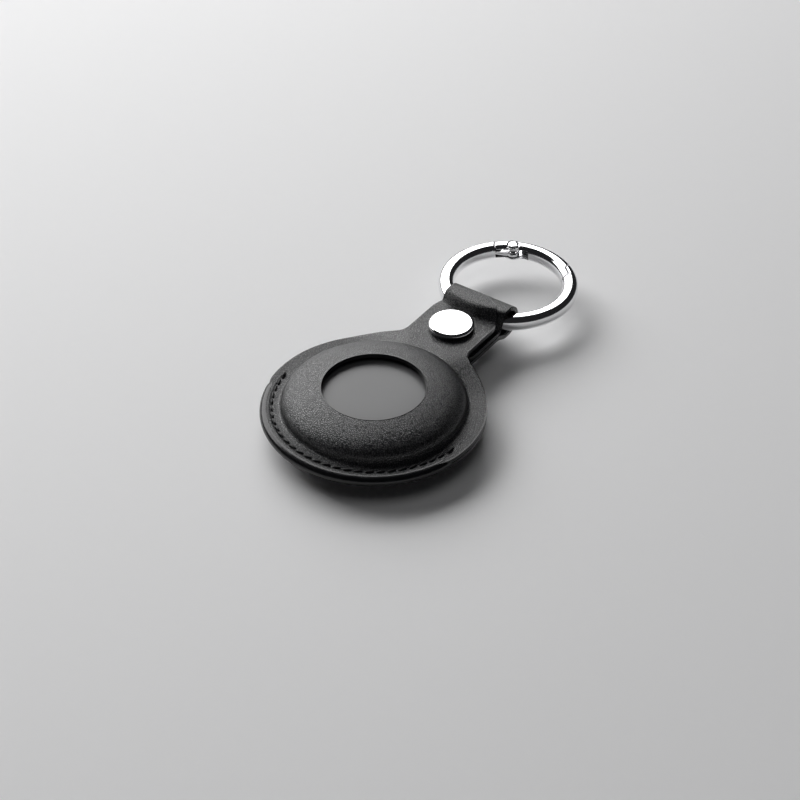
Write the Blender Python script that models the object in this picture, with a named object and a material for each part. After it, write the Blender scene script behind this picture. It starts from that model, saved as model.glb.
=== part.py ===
"""Leather holder for a round tracker tag, with a snap fastener and a spring gate ring.

Metres, +Z up. The tag's axis is X = 0, Y = 0, the neck points along +Y, and the
holder lies on the flat underside of its back at Z = 0.
"""

import bpy
import bmesh
from math import acos, asin, atan2, cos, hypot, pi, radians, sin, sqrt
from mathutils import Matrix, Vector

# Leather: one hide for every panel
LEATHER = 0.0009
LAYER_GAP = 0.0002
POCKET_CLEAR = 0.0002

# Round body
RIM_WIDTH = 0.00555
RIM_BASE = 0.0040
WINDOW_RADIUS = 0.01075
WALL_CLEAR = 0.00055
FRONT_FILLET = 0.0022
REAR_FILLET = 0.0012
REAR_FLAT_RADIUS = 0.0105
FRONT_CROWN_POWER = 2.5
REAR_CROWN_POWER = 2.3
HINGE_OFFSET = 0.0020
HINGE_GAP = 0.0003

# Neck, flap and strap, laid out from the rim towards the ring
NECK_HALF_WIDTH = 0.00745
NECK_FILLET = 0.0030
NECK_REAR_DROP = 0.0004
NECK_LIFT_ANGLE = radians(50)
SNAP_OFFSET = 0.0051
CAP_LAND = 0.0001
FLAP_SLOPE = 0.0022
FLAP_LAG = 0.00008
FLAP_TIP = 0.00035
STRAP_INSET = 0.00005
STRAP_TAIL = 0.0040
STRAP_CORNER = 0.0015
LOOP_INNER_RADIUS = 0.00255
LOOP_CLEAR = 0.0003
LOOP_BACK = 0.0004
LOOP_SLOPE = 0.0030
LOOP_TUCK = 0.00092
SOFT_BLEND = 0.0005

# Tracker tag, built up round its coin cell
TAG_POWER = 4.5
SHELL_WALL = 0.0010
LID_GAP = 0.00015
LID_SHEET = 0.00045
LID_SKIRT = 0.0013
LIP_WIDTH = 0.0028
LIP_DEPTH = 0.0015
LUG_DEPTH = 0.00075
LUG_HEIGHT = 0.00035
LUG_ANGLE = radians(16)
LUG_COUNT = 3
LEDGE_DEPTH = 0.00125
LEDGE_HEIGHT = 0.0004
LEDGE_GAP = 0.0001
LEDGE_LEAD = radians(10)
LEDGE_TRAIL = radians(26)
STOP_ANGLE = radians(4)
STOP_GAP_ANGLE = radians(1.5)
CELL_RADIUS = 0.0100
CELL_HEIGHT = 0.0032
CELL_CAP_INSET = 0.0013
CELL_CAP_STEP = 0.0003
CELL_EDGE = 0.0002
CELL_GAP = 0.0002
FRAME_FLOOR = 0.0006
FRAME_WALL = 0.0011
FRAME_RIM_CLEAR = 0.00075
FRAME_RIM_WALL = 0.0007
FRAME_RIM_HEIGHT = 0.0016
FRAME_TOP_GAP = 0.00025
BOARD_THICKNESS = 0.0008
BOARD_CLEAR = 0.00115
BOARD_HOLE_CLEAR = 0.00045
BOARD_GAP = 0.00015
MAGNET_RADIUS = 0.0038
MAGNET_HEIGHT = 0.0018
MAGNET_GAP = 0.0001
MAGNET_FLOOR_GAP = 0.00045
COIL_GAP = 0.00035
COIL_WIDTH = 0.0010
COIL_HEIGHT = 0.0016
COIL_SEAT = 0.00015
CONTACT_SHEET = 0.0002
CONTACT_WIDTH = 0.0016
CONTACT_GAP = 0.0001
CONTACT_FOOT = 0.0014
CONTACT_CLEAR = 0.0004
NEGATIVE_INSET = 0.0010
NEGATIVE_LENGTH = 0.0044
POSITIVE_HEIGHT = 0.0022
POSITIVE_COUNT = 2

# Snap fastener
METAL_GAP = 0.0001
CAP_RADIUS = 0.0050
CAP_THICKNESS = 0.0012
CAP_ROUND = 0.0004
POST_RADIUS = 0.00085
POST_CLEAR = 0.0001
POST_HOLE_CLEAR = 0.00035
POST_FLARE = 0.0003
POST_FLARE_HEIGHT = 0.00008
SOCKET_RADIUS = 0.0039
SOCKET_PLATE = 0.0002
SOCKET_LIP = 0.0001
SOCKET_CHAMBER_CLEAR = 0.0007
SOCKET_CHAMBER_HEIGHT = 0.00036
SOCKET_NECK = 0.00038
SOCKET_ROUND = 0.00025
STUD_FLANGE_RADIUS = 0.0035
STUD_FLANGE = 0.00025
STUD_NECK_RADIUS = 0.00135
STUD_HEAD_RADIUS = 0.0017
STUD_HEAD_HEIGHT = 0.00022
STUD_HEAD_ROUND = 0.0001
STUD_MOUTH_CLEAR = 0.00015
STUD_TOP_CLEAR = 0.00018
SNAP_WIRE = 0.00028
SNAP_SPRING_GRIP = 0.00009
SNAP_SPRING_OPEN = radians(50)
RIVET_RADIUS = 0.0042
RIVET_THICKNESS = 0.0006
RIVET_ROUND = 0.0003
RIVET_DEPTH = 0.00075

# Spring gate ring
RING_RADIUS = 0.0150
RING_WIDTH = 0.0034
RING_HEIGHT = 0.0032
RING_POWER = 2.9
RING_LIFT = 0.00192
PIN_ANGLE = radians(117.5)
PIN_INSET = 0.00035
PIN_RADIUS = 0.0005
PIN_CLEAR = 0.00008
PIN_HEAD_RADIUS = 0.00115
PIN_HEAD_HEIGHT = 0.0003
PIN_HEAD_SINK = 0.0002
PIN_HEAD_ROUND = 0.00012
BARREL_INSET = 0.0002
GATE_TAIL = 0.0040
GATE_GAP = 0.0001
NOSE_ANGLE = radians(49.5)
NOSE_STEP = 0.0013
FORK_WALL = 0.0006
SLOT_CLEAR = 0.00015
RECESS_LENGTH = 0.0022
RECESS_WALL = 0.0008
RECESS_STEP = 0.00006
TONGUE_CLEAR = 0.00008
TONGUE_INSET = 0.0002
TONGUE_HALF_WIDTH = 0.0011
TONGUE_ROOT = 0.0006
SPRING_WIRE = 0.00028
SPRING_RADIUS = 0.0010
SPRING_PITCH = 0.00074
SPRING_TURNS = 1
SPRING_LEG_SLOPE = radians(12)
SPRING_BODY_LEG = 0.0022
SPRING_GATE_LEG = 0.0032
SPRING_SEAT = 0.0001
SPRING_HEADROOM = 0.000055

OVERRUN = 0.0010

# Mesh steps
RIM_STEPS = 40
NECK_STEPS = 8
CROWN_STEPS = 6
FILLET_STEPS = 4
NECK_FILLET_STEPS = 3
LOOP_STEPS = 10
LAG_STEPS = 8
CORNER_STEPS = 12
TURN_STEPS = 40
FINE_TURN_STEPS = 24
RING_STEPS = 60
RING_SECTION_STEPS = 14
NECK_FULL_SHARE = 0.52
CROWN_FADE_SHARE = 0.85


def smooth(share):
    share = min(max(share, 0.0), 1.0)
    return share * share * (3 - 2 * share)


def mix(low, high, share):
    return low + (high - low) * share


def steps(low, high, count):
    return [mix(low, high, k / count) for k in range(count + 1)]


def squircle(radius, height, power, angle):
    """A point of a rounded quarter: the angle runs from the side to the top."""
    return (radius * max(cos(angle), 0.0) ** (2 / power), height * max(sin(angle), 0.0) ** (2 / power))


# The tag's sizes follow from its cell, outward and then upward
CELL_CAP_RADIUS = CELL_RADIUS - CELL_CAP_INSET
CUP_RADIUS = CELL_RADIUS + CELL_GAP + FRAME_WALL
LEDGE_RADIUS = CUP_RADIUS + LEDGE_DEPTH
LID_RADIUS = LEDGE_RADIUS + LID_GAP + LID_SHEET
TAG_RADIUS = LID_RADIUS + LIP_WIDTH
FRAME_RIM_RADIUS = TAG_RADIUS - SHELL_WALL - FRAME_RIM_CLEAR
BOARD_RADIUS = TAG_RADIUS - SHELL_WALL - BOARD_CLEAR
BOARD_HOLE_RADIUS = MAGNET_RADIUS + COIL_GAP + COIL_WIDTH + BOARD_HOLE_CLEAR
NEGATIVE_END = BOARD_HOLE_RADIUS + NEGATIVE_INSET + CONTACT_FOOT
NEGATIVE_START = NEGATIVE_END - NEGATIVE_LENGTH
SPEAKER_STACK = SHELL_WALL + MAGNET_FLOOR_GAP + MAGNET_HEIGHT + MAGNET_GAP
TAG_HEIGHT = SPEAKER_STACK + FRAME_FLOOR + CELL_GAP + CELL_HEIGHT + CELL_GAP + LID_SHEET

# The leather's plan follows from the tag and the snap
WALL_MID_RADIUS = TAG_RADIUS + WALL_CLEAR + LEATHER / 2
RIM_RADIUS = WALL_MID_RADIUS + RIM_WIDTH
SNAP_Y = RIM_RADIUS + SNAP_OFFSET
STRAP_END_Y = SNAP_Y - STRAP_TAIL
STRAP_HALF_WIDTH = NECK_HALF_WIDTH - STRAP_INSET
FLAP_CORNER = NECK_HALF_WIDTH - FLAP_TIP
FLAP_RISE_Y = SNAP_Y + CAP_RADIUS + CAP_LAND
SLOPE_START_Y = FLAP_RISE_Y - FLAP_LAG
SLOPE_END_Y = SLOPE_START_Y + LOOP_SLOPE

# The ring hangs in the strap's loop by its chord across the strap
RING_INNER_RADIUS = RING_RADIUS - RING_WIDTH
RING_MID_RADIUS = RING_RADIUS - RING_WIDTH / 2
CHORD_REACH = sqrt(RING_INNER_RADIUS ** 2 - STRAP_HALF_WIDTH ** 2)
CHORD_NEAR_Y = SLOPE_END_Y - LOOP_TUCK
RING_Y = CHORD_NEAR_Y + RING_RADIUS
CHORD_FAR_Y = RING_Y - CHORD_REACH
SWING_Y = (CHORD_FAR_Y + CHORD_NEAR_Y) / 2
LOOP_Y = CHORD_FAR_Y + LOOP_CLEAR - LOOP_INNER_RADIUS
FLAP_LENGTH = LOOP_Y

# The hinge's fork, tongue and spring share the ring's height
BARREL_RADIUS = RING_WIDTH / 2
SLOT_HEIGHT = RING_HEIGHT - 2 * FORK_WALL
SLOT_REACH = BARREL_RADIUS + SLOT_CLEAR
TONGUE_RADIUS = BARREL_RADIUS - TONGUE_INSET
SPRING_WRAP = 2 * pi * SPRING_TURNS + SPRING_LEG_SLOPE
SPRING_RISE = SPRING_PITCH * SPRING_WRAP / (2 * pi)
SPRING_STACK = SPRING_SEAT + SPRING_WIRE + SPRING_RISE + SPRING_HEADROOM
TONGUE_THICKNESS = SLOT_HEIGHT - TONGUE_CLEAR - SPRING_STACK

# Heights that follow from the sizes above
REAR_MID = RIM_BASE + LEATHER / 2
FRONT_MID = REAR_MID + LEATHER + LAYER_GAP
TAG_BASE = LEATHER + POCKET_CLEAR
TAG_TOP = TAG_BASE + TAG_HEIGHT
TAG_MID = TAG_BASE + TAG_HEIGHT / 2
WINDOW_EDGE_MID = TAG_TOP + POCKET_CLEAR + LEATHER / 2
DOME_TOP = WINDOW_EDGE_MID + LEATHER / 2
NECK_REAR_MID = REAR_MID - NECK_REAR_DROP
STRAP_END_MID = NECK_REAR_MID + LEATHER + LAYER_GAP
STRAP_END_TOP = STRAP_END_MID + LEATHER / 2
STUD_BASE = STRAP_END_TOP + METAL_GAP
SOCKET_BASE = STUD_BASE + STUD_FLANGE + METAL_GAP
SOCKET_TOP = SOCKET_BASE + SOCKET_LIP + SOCKET_CHAMBER_HEIGHT + SOCKET_NECK + SOCKET_PLATE
NECK_FRONT_MID = SOCKET_TOP + METAL_GAP + LEATHER / 2
FLAP_TOP = NECK_FRONT_MID + LEATHER / 2
CAP_BASE = FLAP_TOP + METAL_GAP
RING_Z = RIM_BASE + RING_LIFT
LOOP_MID_RADIUS = LOOP_INNER_RADIUS + LEATHER / 2
LOOP_TOP_MID = RING_Z + LOOP_MID_RADIUS
LOOP_BOTTOM_MID = RING_Z - LOOP_MID_RADIUS
FLAP_END_MID = LOOP_TOP_MID + LEATHER + LAYER_GAP

# Where the neck's edge leaves the round rim, and where the neck runs straight
NECK_FILLET_X = NECK_HALF_WIDTH + NECK_FILLET
NECK_START_Y = sqrt((RIM_RADIUS + NECK_FILLET) ** 2 - NECK_FILLET_X ** 2)
NECK_EDGE_ANGLE = asin(NECK_FILLET_X / (RIM_RADIUS + NECK_FILLET))


def new_material(name, colour, roughness, metallic):
    material = bpy.data.materials.new(name)
    material.use_nodes = True
    shader = material.node_tree.nodes["Principled BSDF"]
    shader.inputs["Base Color"].default_value = (*colour, 1.0)
    shader.inputs["Roughness"].default_value = roughness
    shader.inputs["Metallic"].default_value = metallic
    return material


def leather_material(name):
    return new_material(name, (0.016, 0.016, 0.018), 0.45, 0.0)


def chrome_material(name):
    return new_material(name, (0.80, 0.80, 0.81), 0.08, 1.0)


def steel_material(name):
    return new_material(name, (0.55, 0.55, 0.56), 0.28, 1.0)


def plastic_material(name, colour):
    return new_material(name, colour, 0.45, 0.0)


def copper_material(name):
    return new_material(name, (0.70, 0.36, 0.20), 0.35, 1.0)


def add_object(name, bm, material, smooth_angle=radians(40)):
    mesh = bpy.data.meshes.new(name)
    bm.to_mesh(mesh)
    bm.free()
    mesh.shade_smooth()
    mesh.set_sharp_from_angle(angle=smooth_angle)
    obj = bpy.data.objects.new(name, mesh)
    bpy.context.scene.collection.objects.link(obj)
    if material:
        obj.data.materials.append(material)
    return obj


def add_axis(name, place, size):
    """An empty that marks a joint's axis and carries the pieces that move on it."""
    axis = bpy.data.objects.new(name, None)
    axis.empty_display_size = size
    axis.location = place
    bpy.context.scene.collection.objects.link(axis)
    return axis


def carry(axis, *pieces):
    """Parent pieces to an axis without moving them."""
    for piece in pieces:
        piece.parent = axis
        piece.matrix_parent_inverse = Matrix.Translation(axis.location).inverted()


def hide_cutter(cutter):
    cutter.hide_render = True
    cutter.display_type = "WIRE"


def boolean(obj, cutter, operation):
    modifier = obj.modifiers.new(cutter.name, "BOOLEAN")
    modifier.operation = operation
    modifier.solver = "EXACT"
    modifier.object = cutter
    hide_cutter(cutter)


def solidify(obj):
    modifier = obj.modifiers.new("hide thickness", "SOLIDIFY")
    modifier.thickness = LEATHER
    modifier.offset = 0.0
    modifier.use_even_offset = True


def turned(name, outline, material, turn_steps=TURN_STEPS, centre=(0.0, 0.0)):
    """A closed outline of (radius, height) points turned about a vertical axis."""
    bm = bmesh.new()
    rings = []
    for radius, height in outline:
        if radius == 0:
            rings.append([bm.verts.new((centre[0], centre[1], height))] * turn_steps)
            continue
        angles = [2 * pi * k / turn_steps for k in range(turn_steps)]
        rings.append(
            [bm.verts.new((centre[0] + radius * cos(a), centre[1] + radius * sin(a), height)) for a in angles]
        )
    for ring, following in zip(rings, rings[1:] + rings[:1]):
        for k in range(turn_steps):
            corners = (ring[k], ring[k - 1], following[k - 1], following[k])
            face = list(dict.fromkeys(corners))
            if len(face) > 2:
                bm.faces.new(face)
    bmesh.ops.recalc_face_normals(bm, faces=bm.faces)
    return add_object(name, bm, material)


def prism(name, points, low, high, material=None):
    """A plan outline of (x, y) points, extruded from one height to another."""
    bm = bmesh.new()
    base = bm.faces.new([bm.verts.new((x, y, low)) for x, y in points])
    extruded = bmesh.ops.extrude_face_region(bm, geom=[base])
    top = [item for item in extruded["geom"] if isinstance(item, bmesh.types.BMVert)]
    bmesh.ops.translate(bm, verts=top, vec=(0, 0, high - low))
    bmesh.ops.recalc_face_normals(bm, faces=bm.faces)
    return add_object(name, bm, material)


def arc(centre, radius, start, end, count):
    return [(centre[0] + radius * cos(a), centre[1] + radius * sin(a)) for a in steps(start, end, count)]


def sector(inner, outer, start, end, count):
    """The plan outline of a piece of a ring."""
    return arc((0, 0), outer, start, end, count) + arc((0, 0), inner, end, start, count)


# Leather surfaces, halfway through the hide


def front_profile():
    """Radius and height of the moulded front, from the window's edge out to the rim."""
    crown_base = FRONT_MID + FRONT_FILLET
    edge_share = (WINDOW_RADIUS / WALL_MID_RADIUS) ** FRONT_CROWN_POWER
    crown_height = (WINDOW_EDGE_MID - crown_base) / (1 - edge_share) ** (1 / FRONT_CROWN_POWER)
    start = acos((WINDOW_RADIUS / WALL_MID_RADIUS) ** (FRONT_CROWN_POWER / 2))
    points = []
    for angle in steps(start, 0, CROWN_STEPS):
        radius, height = squircle(WALL_MID_RADIUS, crown_height, FRONT_CROWN_POWER, angle)
        points.append((radius, crown_base + height))
    centre = WALL_MID_RADIUS + FRONT_FILLET
    for angle in steps(0, pi / 2, FILLET_STEPS)[1:]:
        points.append((centre - FRONT_FILLET * cos(angle), crown_base - FRONT_FILLET * sin(angle)))
    points.append(((centre + RIM_RADIUS) / 2, FRONT_MID))
    points.append((RIM_RADIUS, FRONT_MID))
    return points


def rear_profile():
    """Radius and height of the moulded back, from its flat underside out to the rim."""
    floor = LEATHER / 2
    wall_top = REAR_MID - REAR_FILLET
    points = []
    for angle in steps(pi / 2, 0, CROWN_STEPS):
        radius, height = squircle(
            WALL_MID_RADIUS - REAR_FLAT_RADIUS, wall_top - floor, REAR_CROWN_POWER, angle
        )
        points.append((REAR_FLAT_RADIUS + radius, wall_top - height))
    centre = WALL_MID_RADIUS + REAR_FILLET
    for angle in steps(0, pi / 2, FILLET_STEPS)[1:]:
        points.append((centre - REAR_FILLET * cos(angle), wall_top + REAR_FILLET * sin(angle)))
    points.append(((centre + RIM_RADIUS) / 2, REAR_MID))
    points.append((RIM_RADIUS, REAR_MID))
    return points


def neck_share(angle):
    """1 across the neck and 0 on the open rim, for an angle from the neck's axis."""
    full = NECK_EDGE_ANGLE * NECK_FULL_SHARE
    return 1 - smooth((abs(angle) - full) / (NECK_LIFT_ANGLE - full))


def front_height(radius, height, angle):
    """The front stays up at the flap's level where it runs into the neck."""
    rise = NECK_FRONT_MID - height
    soft_rise = (rise + sqrt(rise * rise + SOFT_BLEND * SOFT_BLEND)) / 2
    fade_start = TAG_RADIUS * CROWN_FADE_SHARE
    fade = smooth((radius - fade_start) / (WALL_MID_RADIUS - fade_start))
    settled = max(height, NECK_FRONT_MID)
    lifted = mix(height + soft_rise, settled, smooth((radius - WALL_MID_RADIUS) / FRONT_FILLET))
    return mix(height, lifted, neck_share(angle) * fade)


def rear_height(radius, height, angle):
    """The back drops a little where it becomes the strap."""
    start = WALL_MID_RADIUS + REAR_FILLET
    fade = smooth((radius - start) / (RIM_RADIUS - start))
    return height - NECK_REAR_DROP * neck_share(angle) * fade


def rim_angles():
    """Angles from the neck's axis: the neck's columns first, then round the rest."""
    across = steps(-NECK_EDGE_ANGLE, NECK_EDGE_ANGLE, NECK_STEPS)
    around = steps(NECK_EDGE_ANGLE, 2 * pi - NECK_EDGE_ANGLE, RIM_STEPS)
    return across + around[1:-1]


def add_rows(bm, rows, closed):
    """Quads between rows of vertices."""
    for row, following in zip(rows, rows[1:]):
        last = len(row) if closed else len(row) - 1
        for k in range(last):
            after = (k + 1) % len(row)
            bm.faces.new((row[k], row[after], following[after], following[k]))


def body_rows(bm, profile, height_of):
    angles = rim_angles()
    rows = []
    for radius, height in profile:
        row = []
        for angle in angles:
            z = height_of(radius, height, angle)
            row.append(bm.verts.new((radius * sin(angle), radius * cos(angle), z)))
        rows.append(row)
    add_rows(bm, rows, closed=True)
    return rows


def neck_rows(bm, rim_row, level, path):
    """The neck's rows, from the rim through its fillets and on along a path.

    The path is a list of (y, half width, height), the height a function of (x, y).
    """
    first = rim_row[:NECK_STEPS + 1]
    column_shares = steps(-1, 1, NECK_STEPS)
    rows = [first]
    for k in range(1, NECK_FILLET_STEPS + 1):
        share = k / NECK_FILLET_STEPS
        angle = (pi / 2 - NECK_EDGE_ANGLE) * (1 - share)
        edge_x = NECK_FILLET_X - NECK_FILLET * cos(angle)
        edge_y = NECK_START_Y - NECK_FILLET * sin(angle)
        middle_y = mix(RIM_RADIUS, NECK_START_Y, share)
        row = []
        for column, vertex in zip(column_shares, first):
            y = mix(middle_y, edge_y, column * column)
            row.append(bm.verts.new((edge_x * column, y, mix(vertex.co.z, level, share))))
        rows.append(row)
    for y, half_width, height_of in path:
        across = [half_width * column for column in column_shares]
        rows.append([bm.verts.new((x, y, height_of(x, y))) for x in across])
    add_rows(bm, rows, closed=False)


def level(height):
    return lambda x, y: height


def ring_lag(x):
    """How much farther out the ring's near edge lies at x than on the middle line."""
    return RING_RADIUS - sqrt(RING_RADIUS ** 2 - x * x)


def slope(start, end, low, high):
    """A smooth rise along the neck that follows the curve of the ring under it."""
    return lambda x, y: mix(low, high, smooth((y - start - ring_lag(x)) / (end - start)))


def corner_rows(end, corner, half_width, direction):
    """(y, half width) pairs round the corners of a strip's end."""
    pairs = []
    for angle in steps(0, pi / 2, CORNER_STEPS):
        y = end - direction * corner * (1 - sin(angle))
        pairs.append((y, half_width - corner * (1 - cos(angle))))
    return pairs


def flap_path():
    """The flap runs flat under the snap's cap, then up over the strap's loop to its round end."""
    height_of = slope(FLAP_RISE_Y, FLAP_RISE_Y + FLAP_SLOPE, NECK_FRONT_MID, FLAP_END_MID)
    straight = steps(NECK_START_Y, FLAP_LENGTH - FLAP_CORNER, 3)[1:-1]
    path = [(y, NECK_HALF_WIDTH, height_of) for y in straight]
    for y, half_width in corner_rows(FLAP_LENGTH, FLAP_CORNER, NECK_HALF_WIDTH, 1):
        path.append((y, half_width, height_of))
    return path


def strap_path():
    """The strap goes under the ring, round it and back to the snap."""
    width = STRAP_HALF_WIDTH
    low_start = SLOPE_START_Y - LOOP_BACK
    slope_out = SLOPE_END_Y + ring_lag(width)
    falling = slope(low_start, SLOPE_END_Y, NECK_REAR_MID, LOOP_BOTTOM_MID)
    rising = slope(SLOPE_START_Y, SLOPE_END_Y, STRAP_END_MID, LOOP_TOP_MID)
    path = [(y, width, falling) for y in steps(low_start, slope_out, LAG_STEPS)]
    for angle in steps(-pi / 2, pi / 2, LOOP_STEPS):
        z = RING_Z + LOOP_MID_RADIUS * sin(angle)
        path.append((LOOP_Y + LOOP_MID_RADIUS * cos(angle), width, level(z)))
    path += [(y, width, rising) for y in steps(slope_out, SLOPE_START_Y, LAG_STEPS)]
    for y, half_width in corner_rows(STRAP_END_Y, STRAP_CORNER, width, -1)[::3]:
        path.append((y, half_width, level(STRAP_END_MID)))
    return path


def front_sheet():
    bm = bmesh.new()
    rows = body_rows(bm, front_profile(), front_height)
    neck_rows(bm, rows[-1], NECK_FRONT_MID, flap_path())
    bmesh.ops.recalc_face_normals(bm, faces=bm.faces)
    return bm


def cut_sheet(bm, y, keep_far):
    """Cut a sheet straight across and keep one side of it."""
    geometry = list(bm.verts) + list(bm.edges) + list(bm.faces)
    bmesh.ops.bisect_plane(
        bm, geom=geometry, plane_co=(0, y, 0), plane_no=(0, 1, 0),
        clear_inner=keep_far, clear_outer=not keep_far,
    )


def make_front_panel():
    """The stitched lower half of the moulded front."""
    bm = front_sheet()
    cut_sheet(bm, -HINGE_OFFSET - HINGE_GAP / 2, keep_far=False)
    panel = add_object("front_panel", bm, leather_material("front_leather"))
    solidify(panel)
    return panel


def post_hole(name, low, high):
    return turned(
        name,
        [(0, low), (POST_RADIUS + POST_HOLE_CLEAR, low), (POST_RADIUS + POST_HOLE_CLEAR, high), (0, high)],
        None, FINE_TURN_STEPS, (0, SNAP_Y),
    )


def make_front_flap():
    """The loose upper half of the front, with the flap that snaps shut over the neck."""
    bm = front_sheet()
    cut_sheet(bm, -HINGE_OFFSET + HINGE_GAP / 2, keep_far=True)
    flap = add_object("front_flap", bm, leather_material("flap_leather"))
    solidify(flap)
    hole = post_hole("flap_hole_cutter", NECK_FRONT_MID - OVERRUN, NECK_FRONT_MID + OVERRUN)
    boolean(flap, hole, "DIFFERENCE")
    return flap


def make_rear_panel():
    """The moulded back and its strap, cut from one piece of leather."""
    bm = bmesh.new()
    rows = body_rows(bm, rear_profile(), rear_height)
    bm.faces.new(rows[0])
    neck_rows(bm, rows[-1], NECK_REAR_MID, strap_path())
    bmesh.ops.recalc_face_normals(bm, faces=bm.faces)
    panel = add_object("rear_panel", bm, leather_material("rear_leather"))
    solidify(panel)
    low = NECK_REAR_MID - LEATHER / 2 - OVERRUN / 2
    hole = post_hole("strap_hole_cutter", low, STRAP_END_TOP + OVERRUN / 2)
    boolean(panel, hole, "DIFFERENCE")
    return panel


# Snap fastener


def make_snap_cap():
    """The polished cap, with the post that is riveted through the flap and the socket."""
    top = CAP_BASE + CAP_THICKNESS
    edge = CAP_RADIUS - CAP_ROUND
    plate_low = SOCKET_TOP - SOCKET_PLATE
    flare = POST_RADIUS + POST_FLARE
    flare_top = plate_low - POST_CLEAR / 2
    outline = [(0, top), (edge, top)]
    outline += arc((edge, top - CAP_ROUND), CAP_ROUND, pi / 3, 0, 2)
    outline += arc((edge, CAP_BASE + CAP_ROUND), CAP_ROUND, 0, -pi / 3, 2)
    outline += [(edge, CAP_BASE), (POST_RADIUS, CAP_BASE), (POST_RADIUS, flare_top), (flare, flare_top)]
    outline += [(flare, flare_top - POST_FLARE_HEIGHT), (0, flare_top - POST_FLARE_HEIGHT)]
    return turned("snap_cap", outline, chrome_material("cap_chrome"), TURN_STEPS, (0, SNAP_Y))


def make_snap_socket():
    """The socket under the flap: a lip, the spring's chamber and a riveted plate."""
    mouth = STUD_HEAD_RADIUS + STUD_MOUTH_CLEAR
    lip_top = SOCKET_BASE + SOCKET_LIP
    chamber_top = lip_top + SOCKET_CHAMBER_HEIGHT
    plate_low = SOCKET_TOP - SOCKET_PLATE
    hole = POST_RADIUS + POST_CLEAR
    round_edge = SOCKET_RADIUS - SOCKET_ROUND
    chamber = STUD_HEAD_RADIUS + SOCKET_CHAMBER_CLEAR
    outline = [(mouth, SOCKET_BASE), (round_edge, SOCKET_BASE)]
    outline += [(SOCKET_RADIUS, SOCKET_BASE + SOCKET_ROUND), (SOCKET_RADIUS, SOCKET_TOP - SOCKET_ROUND)]
    outline += [(round_edge, SOCKET_TOP), (hole, SOCKET_TOP), (hole, plate_low), (mouth, plate_low)]
    outline += [(mouth, chamber_top), (chamber, chamber_top), (chamber, lip_top), (mouth, lip_top)]
    return turned("snap_socket", outline, steel_material("socket_steel"), FINE_TURN_STEPS, (0, SNAP_Y))


def make_snap_spring():
    """The open wire ring that grips the stud below its head."""
    middle = STUD_HEAD_RADIUS - SNAP_SPRING_GRIP + SNAP_WIRE / 2
    z = SOCKET_BASE + SOCKET_LIP + SOCKET_CHAMBER_HEIGHT / 2
    half_open = SNAP_SPRING_OPEN / 2
    points = [
        (middle * sin(a), SNAP_Y - middle * cos(a), z)
        for a in steps(half_open, 2 * pi - half_open, FINE_TURN_STEPS)
    ]
    return wire("snap_spring", points, SNAP_WIRE, steel_material("snap_spring_steel"), 1)


def make_snap_stud():
    """The stud on the strap: a flange, a neck and a rounded head, hollow for the rivet."""
    flange_top = STUD_BASE + STUD_FLANGE
    head_top = SOCKET_TOP - SOCKET_PLATE - STUD_TOP_CLEAR - POST_FLARE_HEIGHT
    head_base = head_top - STUD_HEAD_HEIGHT
    bore = POST_RADIUS + POST_CLEAR
    bore_top = STUD_BASE + RIVET_DEPTH
    outline = [(bore, STUD_BASE), (STUD_FLANGE_RADIUS, STUD_BASE), (STUD_FLANGE_RADIUS, flange_top)]
    outline += [(STUD_NECK_RADIUS, flange_top), (STUD_NECK_RADIUS, head_base)]
    outline += [(STUD_HEAD_RADIUS - STUD_HEAD_ROUND, head_base)]
    outline += [(STUD_HEAD_RADIUS, head_base + STUD_HEAD_ROUND), (STUD_HEAD_RADIUS, head_top - STUD_HEAD_ROUND)]
    outline += [(STUD_HEAD_RADIUS - STUD_HEAD_ROUND, head_top), (0, head_top), (0, bore_top), (bore, bore_top)]
    return turned("snap_stud", outline, chrome_material("stud_chrome"), FINE_TURN_STEPS, (0, SNAP_Y))


def make_snap_rivet():
    """The rivet behind the strap, whose shank holds the stud."""
    top = NECK_REAR_MID - LEATHER / 2 - METAL_GAP
    base = top - RIVET_THICKNESS
    edge = RIVET_RADIUS - RIVET_ROUND
    shank_top = STUD_BASE + RIVET_DEPTH - METAL_GAP
    outline = [(0, base), (edge, base), (RIVET_RADIUS, base + RIVET_ROUND), (RIVET_RADIUS, top)]
    outline += [(POST_RADIUS, top), (POST_RADIUS, shank_top), (0, shank_top)]
    return turned("snap_rivet", outline, chrome_material("rivet_chrome"), FINE_TURN_STEPS, (0, SNAP_Y))


# Tracker tag


def tag_outer_height(radius):
    """How far the tag's surface stands above or below its middle at a radius."""
    share = (radius / TAG_RADIUS) ** TAG_POWER
    return TAG_HEIGHT / 2 * (1 - share) ** (1 / TAG_POWER)


def shell_curve(radius, half_height, start, end, count):
    """Points of the shell's curve about the tag's middle, angles from the side to the bottom."""
    points = []
    for angle in steps(start, end, count):
        r, z = squircle(radius, half_height, TAG_POWER, abs(angle))
        points.append((r, TAG_MID + (z if angle > 0 else -z)))
    return points


def make_tag_shell():
    """The plastic shell: a bowl with a lip turned in round the lid."""
    opening = LID_RADIUS + LID_GAP
    lip_top = TAG_MID + tag_outer_height(opening)
    lip_low = lip_top - LIP_DEPTH
    end = acos((opening / TAG_RADIUS) ** (TAG_POWER / 2))
    outline = shell_curve(TAG_RADIUS, TAG_HEIGHT / 2, -pi / 2, end, CROWN_STEPS * 2)
    inner_radius = TAG_RADIUS - SHELL_WALL
    inner_half = TAG_HEIGHT / 2 - SHELL_WALL
    inner_end = asin(min((lip_low - TAG_MID) / inner_half, 1.0) ** (TAG_POWER / 2))
    outline.append((opening, lip_low))
    outline += shell_curve(inner_radius, inner_half, inner_end, -pi / 2, CROWN_STEPS + 2)
    return turned("tag_shell", outline, plastic_material("shell_white", (0.80, 0.80, 0.79)))


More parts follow.
